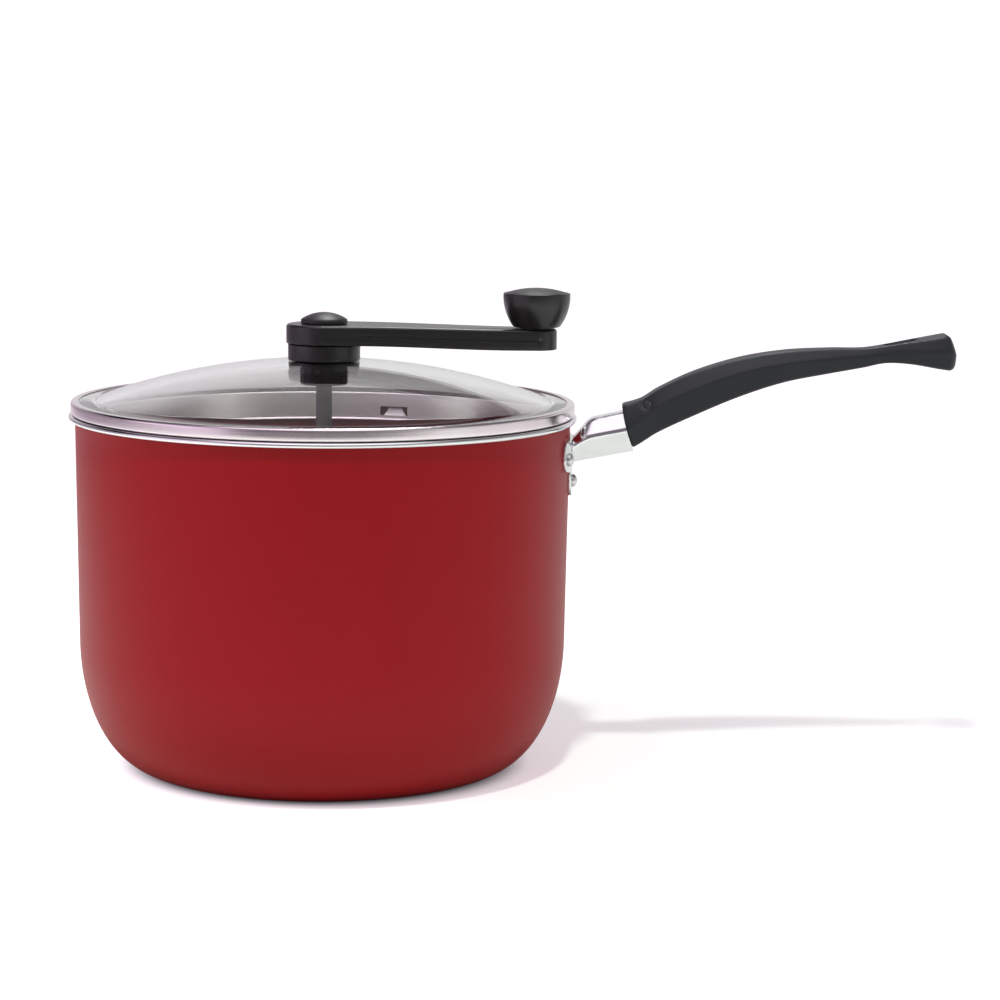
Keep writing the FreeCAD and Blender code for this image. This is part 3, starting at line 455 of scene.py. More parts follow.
NECK_ROOT = 112.1               # where the neck meets the plate, on the pot's middle line
NECK_LENGTH = 30.0
FILLET = 2.2                    # flare of the neck's sides where they meet the plate
BEND_R = 3.6
neck_places = [(0.0, 0.0), (0.12, 0.3), (0.45, 0.62), (1.05, 0.86), (FILLET, 1.0)]
neck_places += [(FILLET + (NECK_LENGTH - FILLET) * i / 20, 1.0) for i in range(1, 21)]
neck_rings = []
for along, grown in neck_places:
    x = NECK_ROOT + along
    top, ridge, low = between(NECK_STATIONS, x)
    soft = min(3.0, (top - ridge) * 0.45)
    corners = (
        (-NECK_HALF[2], low, 0.0),
        (-NECK_HALF[1], ridge, BEND_R),
        (-NECK_HALF[0], top, soft),
        (NECK_HALF[0], top, soft),
        (NECK_HALF[1], ridge, BEND_R),
        (NECK_HALF[2], low, 0.0),
    )
    ring = []
    for y, z in rounded(corners, closed=False):
        side = min(1.0, max(0.0, (ridge + 1.5 - z) / 3.0))
        flare = FILLET * (1 - grown) * side * math.copysign(1, y)
        seat = math.sqrt((wall_radius(z) + SHEET) ** 2 - y * y)
        root = max(0.0, 1 - along / 6.0)
        ring.append((x + (seat - NECK_ROOT) * root, y + flare, z))
    neck_rings.append(ring)
neck = make_piece("neck", *skin(neck_rings, False))
thicken(neck, -1, even=True)
apply_modifiers(neck)
# below the ridge the neck stops at the front of the grip
CUT_DEPTH = 14.0
CUT_END = 150.0
cut_levels = [HIDDEN_LOW - CUT_DEPTH * i / 12 for i in range(13)]
under_grip = [(GRIP_FRONT + front_edge(z) - 0.05, z) for z in cut_levels]
under_grip += [(CUT_END, cut_levels[-1]), (CUT_END, cut_levels[0])]
carve(neck, [[(x, y, z) for x, z in under_grip] for y in (-30.0, 30.0)])

PLATE_ROWS = 56
PLATE_COLUMNS = 40
plate_rings = []
for k in range(PLATE_ROWS + 1):
    height = PLATE_LOW + (PLATE_TOP - 0.02 - PLATE_LOW) * (1 - math.cos(math.pi * k / PLATE_ROWS)) / 2
    seat = wall_radius(height) + 0.02
    across = [plate_half_width(height) * math.sin(math.pi * (i / PLATE_COLUMNS - 0.5))
              for i in range(PLATE_COLUMNS + 1)]
    plate_rings.append([(math.sqrt(seat * seat - y * y), y, height) for y in across])
plate = make_piece("plate", *skin(plate_rings, False))
if sum(face.normal.x for face in plate.data.polygons) < 0:
    plate.data.flip_normals()
thicken(plate, 1, even=False)
edge = plate.modifiers.new("edge", "BEVEL")
edge.width = 0.5 * MM
edge.segments = 3
edge.limit_method = "ANGLE"
edge.angle_limit = math.radians(50)
apply_modifiers(plate)
bracket = join("bracket", neck, plate)
soften(bracket, 40)


def plain_finish(name, constants, grains, colours, roughness, relief):
    """Material of one or two grains: the first mixes two colours, the last makes the relief."""
    finish = Finish(name, constants)
    made = [finish.grain(*grain) for grain in grains]
    rough = roughness[0] + made[-1] * roughness[1]
    if len(roughness) > 2:
        rough = rough + made[0] * roughness[2]
    return finish.shade({
        "Base Color": finish.blend(made[0], *(srgb(*colour) for colour in colours)),
        "Roughness": rough,
        "Normal": finish.relief(made[-1], *relief),
    })


steel_material = plain_finish(
    "polished_steel", {"Metallic": 1.0, "IOR": 2.5},
    [(16.0, 3.0, (1.0, 1.0, 3.0)), (0.25, 2.0, (0.04, 1.0, 1.0))], [(214, 213, 216), (232, 232, 234)],
    roughness=(0.10, 0.04, 0.10), relief=(0.004, 0.4))
dress(bracket, steel_material, "pot", "polished_steel", "handle_bracket")

# ---- Bracket rivets -----------------------------------------------------------
# Three aluminium rivets hold the plate. Each has a domed head outside and a flat upset
# head inside the pot.

RIVET_R = 2.95
RIVET_RISE = 2.3
rivet_outline = (
    [(0, -4.5), (3.5, -4.5)]
    + arc(3.5, -4.2, 0.3, -90, 0, 3)
    + [(3.8, -3.66), (2.18, -3.64), (2.18, -0.02)]
    + [(RIVET_R, 0.0), (RIVET_R, 0.25)]
    + arc(0, 0.25, RIVET_R, 8, 90, 10, radius_z=RIVET_RISE - 0.25)
)
rivet_outline[-1] = (0, RIVET_RISE)
rivet_points = []
rivet_faces = []
for azimuth, height in (UPPER_RIVET, (-UPPER_RIVET[0], UPPER_RIVET[1]), LOWER_RIVET):
    points, faces = turned_mesh(rivet_outline, 40)
    seated = (Matrix.Rotation(math.radians(azimuth), 4, "Z")
              @ Matrix.Translation((wall_radius(height) + SHEET + 0.08, 0, height))
              @ Matrix.Rotation(math.radians(90), 4, "Y"))
    first = len(rivet_points)
    rivet_points += [seated @ Vector(p) for p in points]
    rivet_faces += [[first + i for i in face] for face in faces]
rivets = make_piece("rivets", rivet_points, rivet_faces)
rivet_material = plain_finish(
    "rivet_metal", {"Metallic": 1.0}, [(1.2, 2.0)], [(196, 194, 194), (224, 223, 223)],
    roughness=(0.22, 0.16), relief=(0.05, 0.5))
dress(rivets, rivet_material, "pot", "rivet_metal", "bracket_rivets")

# ---- Grip ---------------------------------------------------------------------
# Moulded in black phenolic, six-sided with a ridge along each side and a flared tail that
# has a hanging hole. Its hollow front slides over the neck, and a cross pin holds it.

GRIP_STATIONS = (
    (129.0, 164.6, 149.0, 141.0, 6.5, 14.0, 7.5),
    (142.0, 168.0, 160.0, 148.4, 6.5, 14.0, 7.5),
    (150.0, 173.0, 166.4, 153.6, 6.4, 13.6, 7.4),
    (166.0, 180.8, 174.0, 161.3, 6.2, 12.8, 7.0),
    (186.0, 187.3, 181.2, 170.0, 5.8, 11.8, 6.4),
    (206.0, 190.9, 185.4, 176.8, 5.4, 10.6, 5.8),
    (226.0, 192.2, 187.6, 181.0, 4.8, 9.0, 5.2),
    (241.0, 192.5, 188.8, 183.9, 4.6, 7.8, 4.8),
    (251.0, 194.0, 190.0, 186.1, 5.2, 8.2, 5.2),
    (262.0, 196.1, 191.2, 185.9, 7.2, 10.6, 7.2),
    (274.0, 198.4, 191.6, 184.1, 9.0, 12.2, 9.0),
    (286.0, 200.8, 191.9, 182.4, 9.6, 12.6, 9.6),
)
GRIP_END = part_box("handle_grip")[1].x / MM
TAIL_ROUND = 3.4
TAIL_MIDDLE = 190.0             # height at which the tail reaches furthest
HOLE_AT = 257.8
HOLE_LENGTH = 12.4
HOLE_WIDTH = 7.4
PIN_AT = (145.2, 166.4)
PIN_R = 1.8


def tail_edge(z):
    """How far the leaning tail end lies in front of GRIP_END at a height."""
    return 0.33 * max(z - TAIL_MIDDLE, 0.0) + 0.02 * max(TAIL_MIDDLE - z, 0.0) ** 1.5


def grip_section(x, inset=0.0):
    """Points of the grip's six-sided section at x, drawn in by an inset."""
    top, ridge, low, top_half, ridge_half, low_half = between(GRIP_STATIONS, x)
    depth = top - low
    soft = min(3.2, depth * 0.24)
    # the side ridges are keen, and soften from the middle of the grip on
    fading = min(1.0, max(0.0, (x - 205.0) / 50.0))
    keen = 1.3 + 2.2 * fading
    # the sides draw in over the last 8 mm of the tail
    corner = max(0.0, x - (GRIP_END - 8.0)) / 8.0
    tuck = inset + 4.5 * (1 - math.sqrt(max(1 - corner * corner, 0.0)))
    corners = (
        (-(top_half - tuck), top - inset, soft),
        (top_half - tuck, top - inset, soft),
        (ridge_half - tuck, ridge, keen),
        (low_half - tuck, low + inset, soft),
        (-(low_half - tuck), low + inset, soft),
        (-(ridge_half - tuck), ridge, keen),
    )
    return rounded(corners, closed=True, run_steps=5, turn_steps=6)


def grip_ring(s, inset=0.0):
    """Ring of the grip, slanted like the front near the front and like the tail near the tail."""
    near_front = max(0.0, 1 - (s - GRIP_FRONT) / 30.0) ** 2
    near_tail = max(0.0, 1 - (GRIP_END - s) / 18.0) ** 2
    points = grip_section(s, inset)
    ring = []
    for i, (y, z) in enumerate(points):
        for _ in range(8):
            x = s + near_front * front_edge(z) - near_tail * tail_edge(z)
            y, z = grip_section(x, inset)[i]
        ring.append((x, y, z))
    return ring


grip_places = [GRIP_FRONT + d for d in (0.0, 0.25, 0.6, 1.1, 1.8, 2.8, 4.0)]
body_from = GRIP_FRONT + 5.5
grip_places += [body_from + (GRIP_END - TAIL_ROUND - body_from) * i / 92 for i in range(93)]
front_insets = {0: 0.9, 1: 0.45, 2: 0.15}
grip_rings = [grip_ring(s, front_insets.get(k, 0.0)) for k, s in enumerate(grip_places)]
for turn in (math.pi / 2 * k / 8 for k in range(1, 9)):
    s = GRIP_END - TAIL_ROUND * (1 - math.sin(turn))
    grip_rings.append(grip_ring(s, TAIL_ROUND * (1 - math.cos(turn)) * 0.92))
grip = solid("grip", grip_rings)


def oval(length, width, grow, steps=24):
    """Outline of an oval hole round the origin, grown by an offset."""
    half = (length - width) / 2
    radius = width / 2 + grow
    points = []
    for side in (1, -1):
        for i in range(steps + 1):
            turn = math.radians(-90 + 180 * i / steps)
            points.append((side * (half + radius * math.cos(turn)), side * radius * math.sin(turn)))
    return points


hole_top, _, hole_low, *_ = between(GRIP_STATIONS, HOLE_AT)
HOLE_LEAN = 0.19                # slope of the tail's upper side at the hole
hole_levels = (
    (hole_low - 4, 4.4, 0), (hole_low + 0.4, 1.1, 0), (hole_low + 1.0, 0.45, 0), (hole_low + 2.0, 0.0, 0),
    (hole_top - 2.2, 0.0, HOLE_LEAN), (hole_top - 1.2, 0.45, HOLE_LEAN),
    (hole_top - 0.6, 1.1, HOLE_LEAN), (hole_top + 4, 5.4, HOLE_LEAN),
)
carve(grip, [[(HOLE_AT + x, y, height + slope * x) for x, y in oval(HOLE_LENGTH, HOLE_WIDTH, grow)]
             for height, grow, slope in hole_levels])

socket_layers = []
for x in (126.0, 134.0, 142.1):
    top, ridge, low = between(NECK_STATIONS, min(x, 142.0))
    corners = (
        (-NECK_HALF[0] - 0.1, top + 0.1, 1.8),
        (NECK_HALF[0] + 0.1, top + 0.1, 1.8),
        (NECK_HALF[1] + 0.1, ridge, 1.2),
        (NECK_HALF[1] - 2.2, HIDDEN_LOW, 0.6),
        (-NECK_HALF[1] + 2.2, HIDDEN_LOW, 0.6),
        (-NECK_HALF[1] - 0.1, ridge, 1.2),
    )
    socket_layers.append([(x, y, z) for y, z in rounded(corners, closed=True)])
carve(grip, socket_layers)


def pin_outline(side, depth, radius):
    """Circle round the pin's axis, laid on the grip's upper side and sunk by a depth."""
    outline = []
    for c, s in circle(32):
        x = PIN_AT[0] + radius * c
        z = PIN_AT[1] + radius * s
        top, ridge, _, top_half, ridge_half, _ = between(GRIP_STATIONS, x)
        out = top_half + (top - z) * (ridge_half - top_half) / (top - ridge)
        outline.append((x, side * (out - depth), z))
    return outline


# depth and radius of the shallow dish round each end of the pin, and of its bore
dish = ((-1.5, 6.0), (-0.2, 4.4), (0.0, 3.7), (0.15, 3.0), (0.35, 2.3),
        (0.6, PIN_R + 0.05), (3.2, PIN_R + 0.05))
for side in (-1, 1):
    carve(grip, [pin_outline(side, depth, radius) for depth, radius in dish])
soften(grip, 38)

phenolic = Finish("black_phenolic", {"Specular IOR Level": 0.18, "IOR": 1.5})
flow = phenolic.grain(22.0, 3.0, (0.35, 1.0, 1.0))
fine = phenolic.grain(0.6, 2.0)
lines = phenolic.grain(0.5, 2.0, (0.05, 1.0, 1.0))
phenolic_material = phenolic.shade({
    "Base Color": phenolic.blend(flow, srgb(42, 43, 47), srgb(50, 51, 55)),
    "Roughness": 0.36 + fine * 0.10 + flow * 0.08,
    "Normal": phenolic.relief(fine * 0.6 + lines * 0.4, 0.03, 0.45),
})
dress(grip, phenolic_material, "pot", "black_phenolic", "handle_grip")

# ---- Tang and grip pin --------------------------------------------------------
# A plain steel blade is welded inside the neck and reaches into the grip. A pin of blackened
# steel goes across both, and its ends lie a little below the grip's sides.

pin_end = ((0.5, PIN_R - 0.35), (0.6, PIN_R - 0.12), (0.8, PIN_R), (3.0, PIN_R))
pin_outlines = [pin_outline(-1, depth, radius) for depth, radius in pin_end]
pin_outlines += [pin_outline(1, depth, radius) for depth, radius in reversed(pin_end)]
pin = solid("cross_pin", pin_outlines)

zinc_material = plain_finish(
    "zinc_steel", {"Metallic": 1.0}, [(1.6, 3.0)], [(168, 168, 164), (200, 199, 193)],
    roughness=(0.30, 0.20), relief=(0.01, 0.4))
oxide_material = plain_finish(
    "blackened_steel", {"Metallic": 0.1}, [(0.8, 3.0)], [(34, 34, 37), (44, 44, 47)],
    roughness=(0.42, 0.2), relief=(0.01, 0.4))
tang_material = plain_finish(
    "tang_steel", {"Metallic": 1.0}, [(4.0, 4.0)], [(128, 127, 126), (164, 163, 161)],
    roughness=(0.38, 0.2), relief=(0.02, 0.4))


def paint(material, *names):
    """Gives CAD nodes that stay as they are their finish."""
    for name in names:
        for place_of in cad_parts[name].material_slots:
            place_of.material = material
        soften(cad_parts[name])


dress(pin, oxide_material, "pot", "blackened_steel", "grip_pin")
paint(tang_material, "handle_tang")

# ---- Lid glass ----------------------------------------------------------------
# A dome of clear tempered glass, 4 mm thick and faintly grey. Its rim lies flat under the
# ring's lip, and a hole in its middle takes the boss.

GLASS_TOP = 183.9
GLASS_SPHERE = 300.0
GLASS_THICK = 4.0
GLASS_HOLE_R = 6.3
BLEND_R = 101.0                 # where the dome starts to run out flat under the ring's lip
BLEND_SLOPES = (-0.36, -0.10)   # of the glass there, and where it is flat
GLASS_EDGE = (111.0, 165.1)
GLASS_EDGE_THICK = 3.6
GLASS_EDGE_FLAT = 1.4
EDGE_ROUND = 0.8


def dome_height(radius, inset=0.0):
    """Height of the dome's outer face at a radius, or of a face parallel to it."""
    sphere = GLASS_SPHERE - inset
    return GLASS_TOP - GLASS_SPHERE + math.sqrt(sphere ** 2 - radius ** 2)


run_out = []
dome_end = dome_height(BLEND_R)
run = GLASS_EDGE[0] - GLASS_EDGE_FLAT - BLEND_R
for t in (i / 12 for i in range(1, 13)):
    height = hermite(t, dome_end, BLEND_SLOPES[0] * run, GLASS_EDGE[1], BLEND_SLOPES[1] * run)
    thick = (1 - t) * (dome_end - dome_height(BLEND_R, GLASS_THICK)) + t * GLASS_EDGE_THICK
    run_out.append((BLEND_R + run * t, height, thick))
radii = [GLASS_HOLE_R + (BLEND_R - GLASS_HOLE_R) * i / 34 for i in range(35)]
edge_middle = GLASS_EDGE[0] - EDGE_ROUND
glass_outline = (
    [(r, dome_height(r, GLASS_THICK)) for r in radii]
    + [(r, height - thick) for r, height, thick in run_out]
    + arc(edge_middle, GLASS_EDGE[1] - GLASS_EDGE_THICK + EDGE_ROUND, EDGE_ROUND, -90, 0, 4)
    + arc(edge_middle, GLASS_EDGE[1] - EDGE_ROUND, EDGE_ROUND, 0, 90, 4)
    + [(r, height) for r, height, _ in reversed(run_out)]
    + [(r, dome_height(r)) for r in reversed(radii)]
)
glass = make_piece("lid_dome", *turned_mesh(glass_outline, 224), sharp=50)

clear = Finish("lid_glass", {
    "Base Color": (0.93, 0.935, 0.935, 1.0),
    "Transmission Weight": 1.0,
    "IOR": 1.5,
})
glass_material = clear.shade({"Roughness": clear.grain(60.0, 2.0) * 0.015})
dress(glass, glass_material, "lid", "lid_glass", "lid_glass")

# ---- Lid ring and its gasket --------------------------------------------------
# Rolled from 0.6 mm polished stainless sheet: a lip over the glass, an outer wall, a flange
# that rests on the rim, and a skirt with a hemmed edge and four punched spring tongues. A
# grey silicone gasket seats the glass in it.

RING_SHEET = 0.6
ring_low, ring_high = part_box("lid_ring")
RING_R = ring_high.x / MM
RING_Z = 160.1                  # underside of the flange, on the pot's rim
FLANGE_R = 109.5
FLANGE_BEND = 0.9
LIP_R = 109.4
LIP_FLAT_R = 110.2
LIP_BEND = 1.3
LIP_HEM = RING_SHEET / 2
SKIRT_R = 107.1
SKIRT_LEAN = 0.05               # the skirt draws in a little downwards
SKIRT_BEND = 0.5
HEM_R = 0.75
HEM_Z = ring_low.z / MM + HEM_R
HEM_DROP = 11.0                 # of the hem's middle below the flange's bend
TAB_AZIMUTH = 76.0
TAB_LOW_Z = 148.7
TAB_HIGH_Z = 153.3
TAB_WIDTH = 13.6
TAB_SPREAD = 0.9
RING_STEPS = 288

skirt_in = SKIRT_R - RING_SHEET
hem_at = SKIRT_R - HEM_R - 0.05 - SKIRT_LEAN * HEM_DROP
lip_top = GLASS_EDGE[1] + RING_SHEET


def drawn_in(radius, z):
    """Radius of the leaning skirt at a height."""
    return radius - SKIRT_LEAN * (RING_Z - 1.0 - z)


flange_in = RING_R - FLANGE_BEND
lip_in = RING_R - LIP_BEND
skirt_out = SKIRT_R + SKIRT_BEND
skirt_top = RING_Z - SKIRT_BEND
tab_bounds = (TAB_LOW_Z, TAB_HIGH_Z)
ring_outline = (
    arc(hem_at, HEM_Z, HEM_R, -225, 45, 14)
    + [(drawn_in(SKIRT_R, z), z) for z in (HEM_Z + 1.0, *tab_bounds)]
    + arc(skirt_out, skirt_top, SKIRT_BEND, 180, 90, 4)
    + [(FLANGE_R, RING_Z)]
    + arc(flange_in, RING_Z + FLANGE_BEND, FLANGE_BEND, -90, 0, 6)
    + [(RING_R, 162.6), (RING_R, 163.6)]
    + arc(lip_in, lip_top - LIP_BEND, LIP_BEND, 0, 90, 8)
    + [(LIP_FLAT_R, lip_top)]
    + arc(LIP_R + LIP_HEM, lip_top - LIP_HEM, LIP_HEM, 90, 270, 6)
    + [(LIP_FLAT_R, GLASS_EDGE[1])]
    + arc(lip_in, lip_top - LIP_BEND, LIP_BEND - RING_SHEET, 90, 0, 4)
    + [(RING_R - RING_SHEET, 163.0)]
    + arc(flange_in, RING_Z + FLANGE_BEND, FLANGE_BEND - RING_SHEET, 0, -90, 3)
    + [(FLANGE_R, RING_Z + RING_SHEET)]
    + arc(skirt_out, skirt_top, SKIRT_BEND + RING_SHEET, 90, 180, 5)
    + [(drawn_in(skirt_in, z), z) for z in (*reversed(tab_bounds), HEM_Z + 1.0)]
)
ring_points, ring_faces = turned_mesh(ring_outline, RING_STEPS)

half_tab = TAB_WIDTH / 2 / SKIRT_R
tab_azimuths = [math.radians(TAB_AZIMUTH + 90 * i) for i in range(4)]


def in_window(points):
    """True for a face of the skirt that the punch takes out."""
    middle = sum((Vector(p) for p in points), Vector()) / len(points)
    if not TAB_LOW_Z < middle.z < TAB_HIGH_Z or middle.xy.length > SKIRT_R + 0.1:
        return False
    azimuth = math.atan2(middle.y, middle.x)
    return any(abs(math.remainder(azimuth - at, 2 * math.pi)) < half_tab for at in tab_azimuths)


kept = [face for face in ring_faces if not in_window([ring_points[i] for i in face])]
uses = {}
for face in kept:
    for a, b in zip(face, face[1:] + face[:1]):
        uses.setdefault(frozenset((a, b)), []).append((a, b))
# the cut edges of each window join the skirt's outer face to its inner one
partner = {}
for z in tab_bounds:
    out_row, in_row = (RING_STEPS * ring_outline.index((drawn_in(r, z), z)) for r in (SKIRT_R, skirt_in))
    partner.update((out_row + i, in_row + i) for i in range(RING_STEPS))
for (a, b), *others in uses.values():
    if not others and a in partner and b in partner:
        kept.append([b, a, partner[a], partner[b]])

TONGUE_ROWS = 6
TONGUE_STEPS = 10
row_size = TONGUE_STEPS + 1
tongue_rim = ([(0, i) for i in range(row_size)] + [(k, TONGUE_STEPS) for k in range(1, TONGUE_ROWS + 1)]
              + [(TONGUE_ROWS, i) for i in reversed(range(TONGUE_STEPS))]
              + [(k, 0) for k in reversed(range(1, TONGUE_ROWS))])
for at in tab_azimuths:
    layers = []
    for radius in (SKIRT_R - 0.02, skirt_in + 0.02):
        layer = []
        for t in (k / TONGUE_ROWS for k in range(TONGUE_ROWS + 1)):
            # a tongue narrows upwards, leans out and curls back at its tip
            half = half_tab * (0.80 - 0.30 * math.sin(math.pi / 2 * t) ** 2)
            height = TAB_LOW_Z - 0.5 + (TAB_HIGH_Z - TAB_LOW_Z - 0.2) * t
            reach = drawn_in(radius, height) + TAB_SPREAD * math.sin(math.pi * 0.62 * t)
            turns = [at + half * (2 * i / TONGUE_STEPS - 1) for i in range(row_size)]
            layer.append([(reach * math.cos(a), reach * math.sin(a), height) for a in turns])
        layers.append(layer)
    for layer in layers:
        first = len(ring_points)
        points, faces = skin(layer, False)
        ring_points += points
        kept += [[first + i for i in face] for face in faces]
    inner = len(ring_points) - len(points)
    outer = inner - len(points)
    rim = [k * row_size + i for k, i in tongue_rim]
    kept += [[outer + b, outer + a, inner + a, inner + b] for a, b in zip(rim, rim[1:] + rim[:1])]
ring = make_piece("ring", ring_points, kept, sharp=50)

rolled = Finish("rolled_steel", {"Metallic": 1.0, "IOR": 2.5})
wave = rolled.grain(26.0, 2.0, (1.0, 1.0, 0.4))
streak = rolled.grain(0.3, 2.0, (0.2, 0.2, 1.6))
# the skirt is satin, apart from its hem, and its colour there is painted almost white: painted light that
# brightens the skirt seen through the glass
level = rolled.node("ShaderNodeSeparateXYZ", None, [rolled.place()], out=2)
above_hem = rolled.ramp(level, (HEM_Z + 1.0) * MM, (HEM_Z + 1.4) * MM, shape="LINEAR")
on_skirt = rolled.ramp(rolled.from_axis(), (SKIRT_R + 0.1) * MM, (SKIRT_R - 0.2) * MM, shape="LINEAR")
satin_and_painted_light = on_skirt * above_hem
warm = rolled.blend(wave, srgb(214, 203, 206), srgb(234, 225, 228))
ring_material = rolled.shade({
    # painted light: the satin skirt's colour is lighter and whiter than the rest of the ring
    "Base Color": rolled.blend(satin_and_painted_light, warm, srgb(250, 247, 243)),
    "Roughness": 0.12 + wave * 0.08 + streak * 0.05 + satin_and_painted_light * 0.16,
    "Normal": rolled.relief(wave * 0.85 + streak * 0.02, 0.5, 0.30),
})
dress(ring, ring_material, "lid", "polished_steel", "lid_ring")

silicone_material = plain_finish(
    "grey_silicone", {"IOR": 1.41, "Subsurface Weight": 0.2, "Subsurface Radius": (0.002, 0.002, 0.002)},
    [(2.0, 2.0)], [(150, 150, 150), (168, 168, 168)], roughness=(0.45, 0.15), relief=(0.02, 0.3))
paint(silicone_material, "lid_gasket")

# ---- Bearing boss, nut, gaskets and bushes ------------------------------------
# A moulded black boss goes through the hole of the glass and a round fluted nut holds it
# from below, each on a black silicone washer. Two white nylon bushes line its bore, and a
# nylon thrust washer lies on top, under the crank.

BOSS_R = 16.2
BOSS_SEAT = 184.75
SKIRT_LOW = 183.8
BOSS_LOW, BOSS_HIGH = (corner.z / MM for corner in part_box("bearing_boss"))
BORE_R = 4.42
SPIGOT_R = 6.0
BOSS_SKIRT_IN = 14.8
boss_outline = (
    [(BORE_R, BOSS_LOW), (SPIGOT_R - 0.4, BOSS_LOW), (SPIGOT_R, BOSS_LOW + 0.4)]
    + [(SPIGOT_R, BOSS_SEAT), (BOSS_SKIRT_IN, BOSS_SEAT), (BOSS_SKIRT_IN, SKIRT_LOW)]
    + arc(BOSS_R - 0.35, SKIRT_LOW + 0.35, 0.35, -90, 0, 4)
    + arc(BOSS_R - 0.25, BOSS_HIGH - 0.25, 0.25, 0, 90, 4)
    + [(12.0, BOSS_HIGH), (BORE_R, BOSS_HIGH)]
)
boss = make_piece("boss", *turned_mesh(boss_outline, 96))

moulded_material = plain_finish(
    "moulded_black", {"Specular IOR Level": 0.5, "IOR": 1.5},
    [(14.0, 2.0), (0.45, 2.0)], [(23, 21, 23), (29, 27, 29)], roughness=(0.26, 0.10), relief=(0.02, 0.35))
dress(boss, moulded_material, "lid", "crank_plastic", "bearing_boss")

NUT_R = 10.65
NUT_LOW, NUT_HIGH = (corner.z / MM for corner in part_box("boss_nut"))
FLUTES = 16
FLUTE_STEPS = 10
FLUTE_DEPTH = 0.42
# height, radius, and how much of the flutes' depth a ring has
nut_levels = (
    (NUT_LOW, SPIGOT_R + 0.02, 0), (NUT_LOW, 8.0, 0), (NUT_LOW, NUT_R - 1.2, 0.3),
    (NUT_LOW + 0.35, NUT_R - 0.35, 0.8), (NUT_LOW + 1.2, NUT_R, 1.0), (NUT_HIGH - 1.4, NUT_R, 1.0),
    (NUT_HIGH - 0.9, NUT_R, 0), (NUT_HIGH - 0.3, NUT_R, 0), (NUT_HIGH, NUT_R - 0.3, 0),
    (NUT_HIGH, SPIGOT_R + 0.02, 0),
)
nut_rings = []
for height, radius, deep in (*nut_levels, nut_levels[0]):
    nut_ring = []
    for i, (c, s) in enumerate(circle(FLUTES * FLUTE_STEPS)):
        groove = max(0.0, math.cos(2 * math.pi * i / FLUTE_STEPS) - 0.55) / 0.45
        across = radius - FLUTE_DEPTH * deep * groove
        nut_ring.append((across * c, across * s, height))
    nut_rings.append(nut_ring)
# the last ring is the first one again
nut_points, nut_faces = skin(nut_rings, True)
del nut_points[-len(nut_rings[0]):]
nut_faces = [[i % len(nut_points) for i in face] for face in nut_faces]
nut = make_piece("nut", nut_points, nut_faces)
dress(nut, moulded_material, "lid", "crank_plastic", "boss_nut")

rubber_material = plain_finish(
    "black_silicone", {"IOR": 1.41}, [(1.1, 3.0)], [(32, 32, 32), (44, 44, 44)],
    roughness=(0.55, 0.2), relief=(0.02, 0.4))
paint(rubber_material, "boss_gasket", "nut_gasket")

nylon_material = plain_finish(
    "white_nylon", {"IOR": 1.53}, [(3.0, 2.0)], [(222, 220, 210), (234, 232, 224)],
    roughness=(0.35, 0.12), relief=(0.02, 0.3))
paint(nylon_material, "upper_bush", "lower_bush", "thrust_washer")

# ---- Drive shaft --------------------------------------------------------------
# Drawn steel rod, dull grey, with a thinner journal in the boss. It reaches down to the
# stirrer. Its top turns with the arm on two flats, which the hub hides, so it is round here.

SHAFT_LOW, SHAFT_HIGH = (corner.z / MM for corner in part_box("drive_shaft"))
SHAFT_R = 3.6
FOOT_ROUND = 1.2
JOURNAL_R = 3.0
SHOULDER_Z = 171.1
DRIVE_R = 2.3
DRIVE_Z = 191.3
shaft_outline = (
    [(0, SHAFT_LOW), (SHAFT_R - FOOT_ROUND, SHAFT_LOW)]
    + arc(SHAFT_R - FOOT_ROUND, SHAFT_LOW + FOOT_ROUND, FOOT_ROUND, -90, 0, 6)[1:]
    + line((SHAFT_R, SHAFT_LOW + FOOT_ROUND), (SHAFT_R, SHOULDER_Z - 0.3), 6)
    + [(SHAFT_R, SHOULDER_Z - 0.3), (SHAFT_R - 0.3, SHOULDER_Z), (JOURNAL_R, SHOULDER_Z)]
    + [(JOURNAL_R, DRIVE_Z), (DRIVE_R, DRIVE_Z), (DRIVE_R, SHAFT_HIGH - 0.2), (0, SHAFT_HIGH - 0.2)]
)
shaft = make_piece("shaft", *turned_mesh(shaft_outline, 64))
drawn_material = plain_finish(
    "drawn_steel", {"Metallic": 0.85},
    [(9.0, 3.0), (0.35, 3.0, (1.0, 1.0, 0.03))], [(118, 116, 118), (132, 130, 132)],
    roughness=(0.40, 0.14), relief=(0.01, 0.5))
dress(shaft, drawn_material, "crank", "shaft_steel", "drive_shaft")

# ---- Crank arm ----------------------------------------------------------------
# Moulded in black nylon: a round hub over the boss, an arm that tapers and drops a little,
# and a round end that carries the knob. A fine parting line runs along its side.

HUB_R = 17.0
HUB_LOW = 191.3
HUB_TOP = 199.95
ARM = 95.2                      # from the shaft's axis to the knob's
ARM_END_R = 9.2
END_LOW = 189.8
END_TOP = 199.1
HEAD_R = 4.8                    # recess for the head of the knob's axle
HEAD_DEPTH = 1.8
lean = math.asin((HUB_R - ARM_END_R) / ARM)


def arm_outline(inset):
    """Plan view of the arm as (x, y), drawn in by an inset: hub, side, end, side."""
    hub = arc(0.0, 0.0, HUB_R - inset, 90 - math.degrees(lean), 270 + math.degrees(lean), 56)
    end = arc(ARM, 0.0, ARM_END_R - inset, -90 + math.degrees(lean), 90 - math.degrees(lean), 32)
    return hub + line(hub[-1], end[0], 20) + end + line(end[-1], hub[0], 20)


def arm_level(x, part):
    """Height of a level of the arm at x, where part runs from 0, its underside, to 1, its top."""
    t = min(1.0, max(0.0, (x - HUB_R) / (ARM - ARM_END_R - HUB_R)))
    t = t * t * (3 - 2 * t)
    low = HUB_LOW + (END_LOW - HUB_LOW) * t
    top = HUB_TOP + (END_TOP - HUB_TOP) * t
    return low + (top - low) * part


TOP_ROUND = 1.4
LOW_ROUND = 0.3
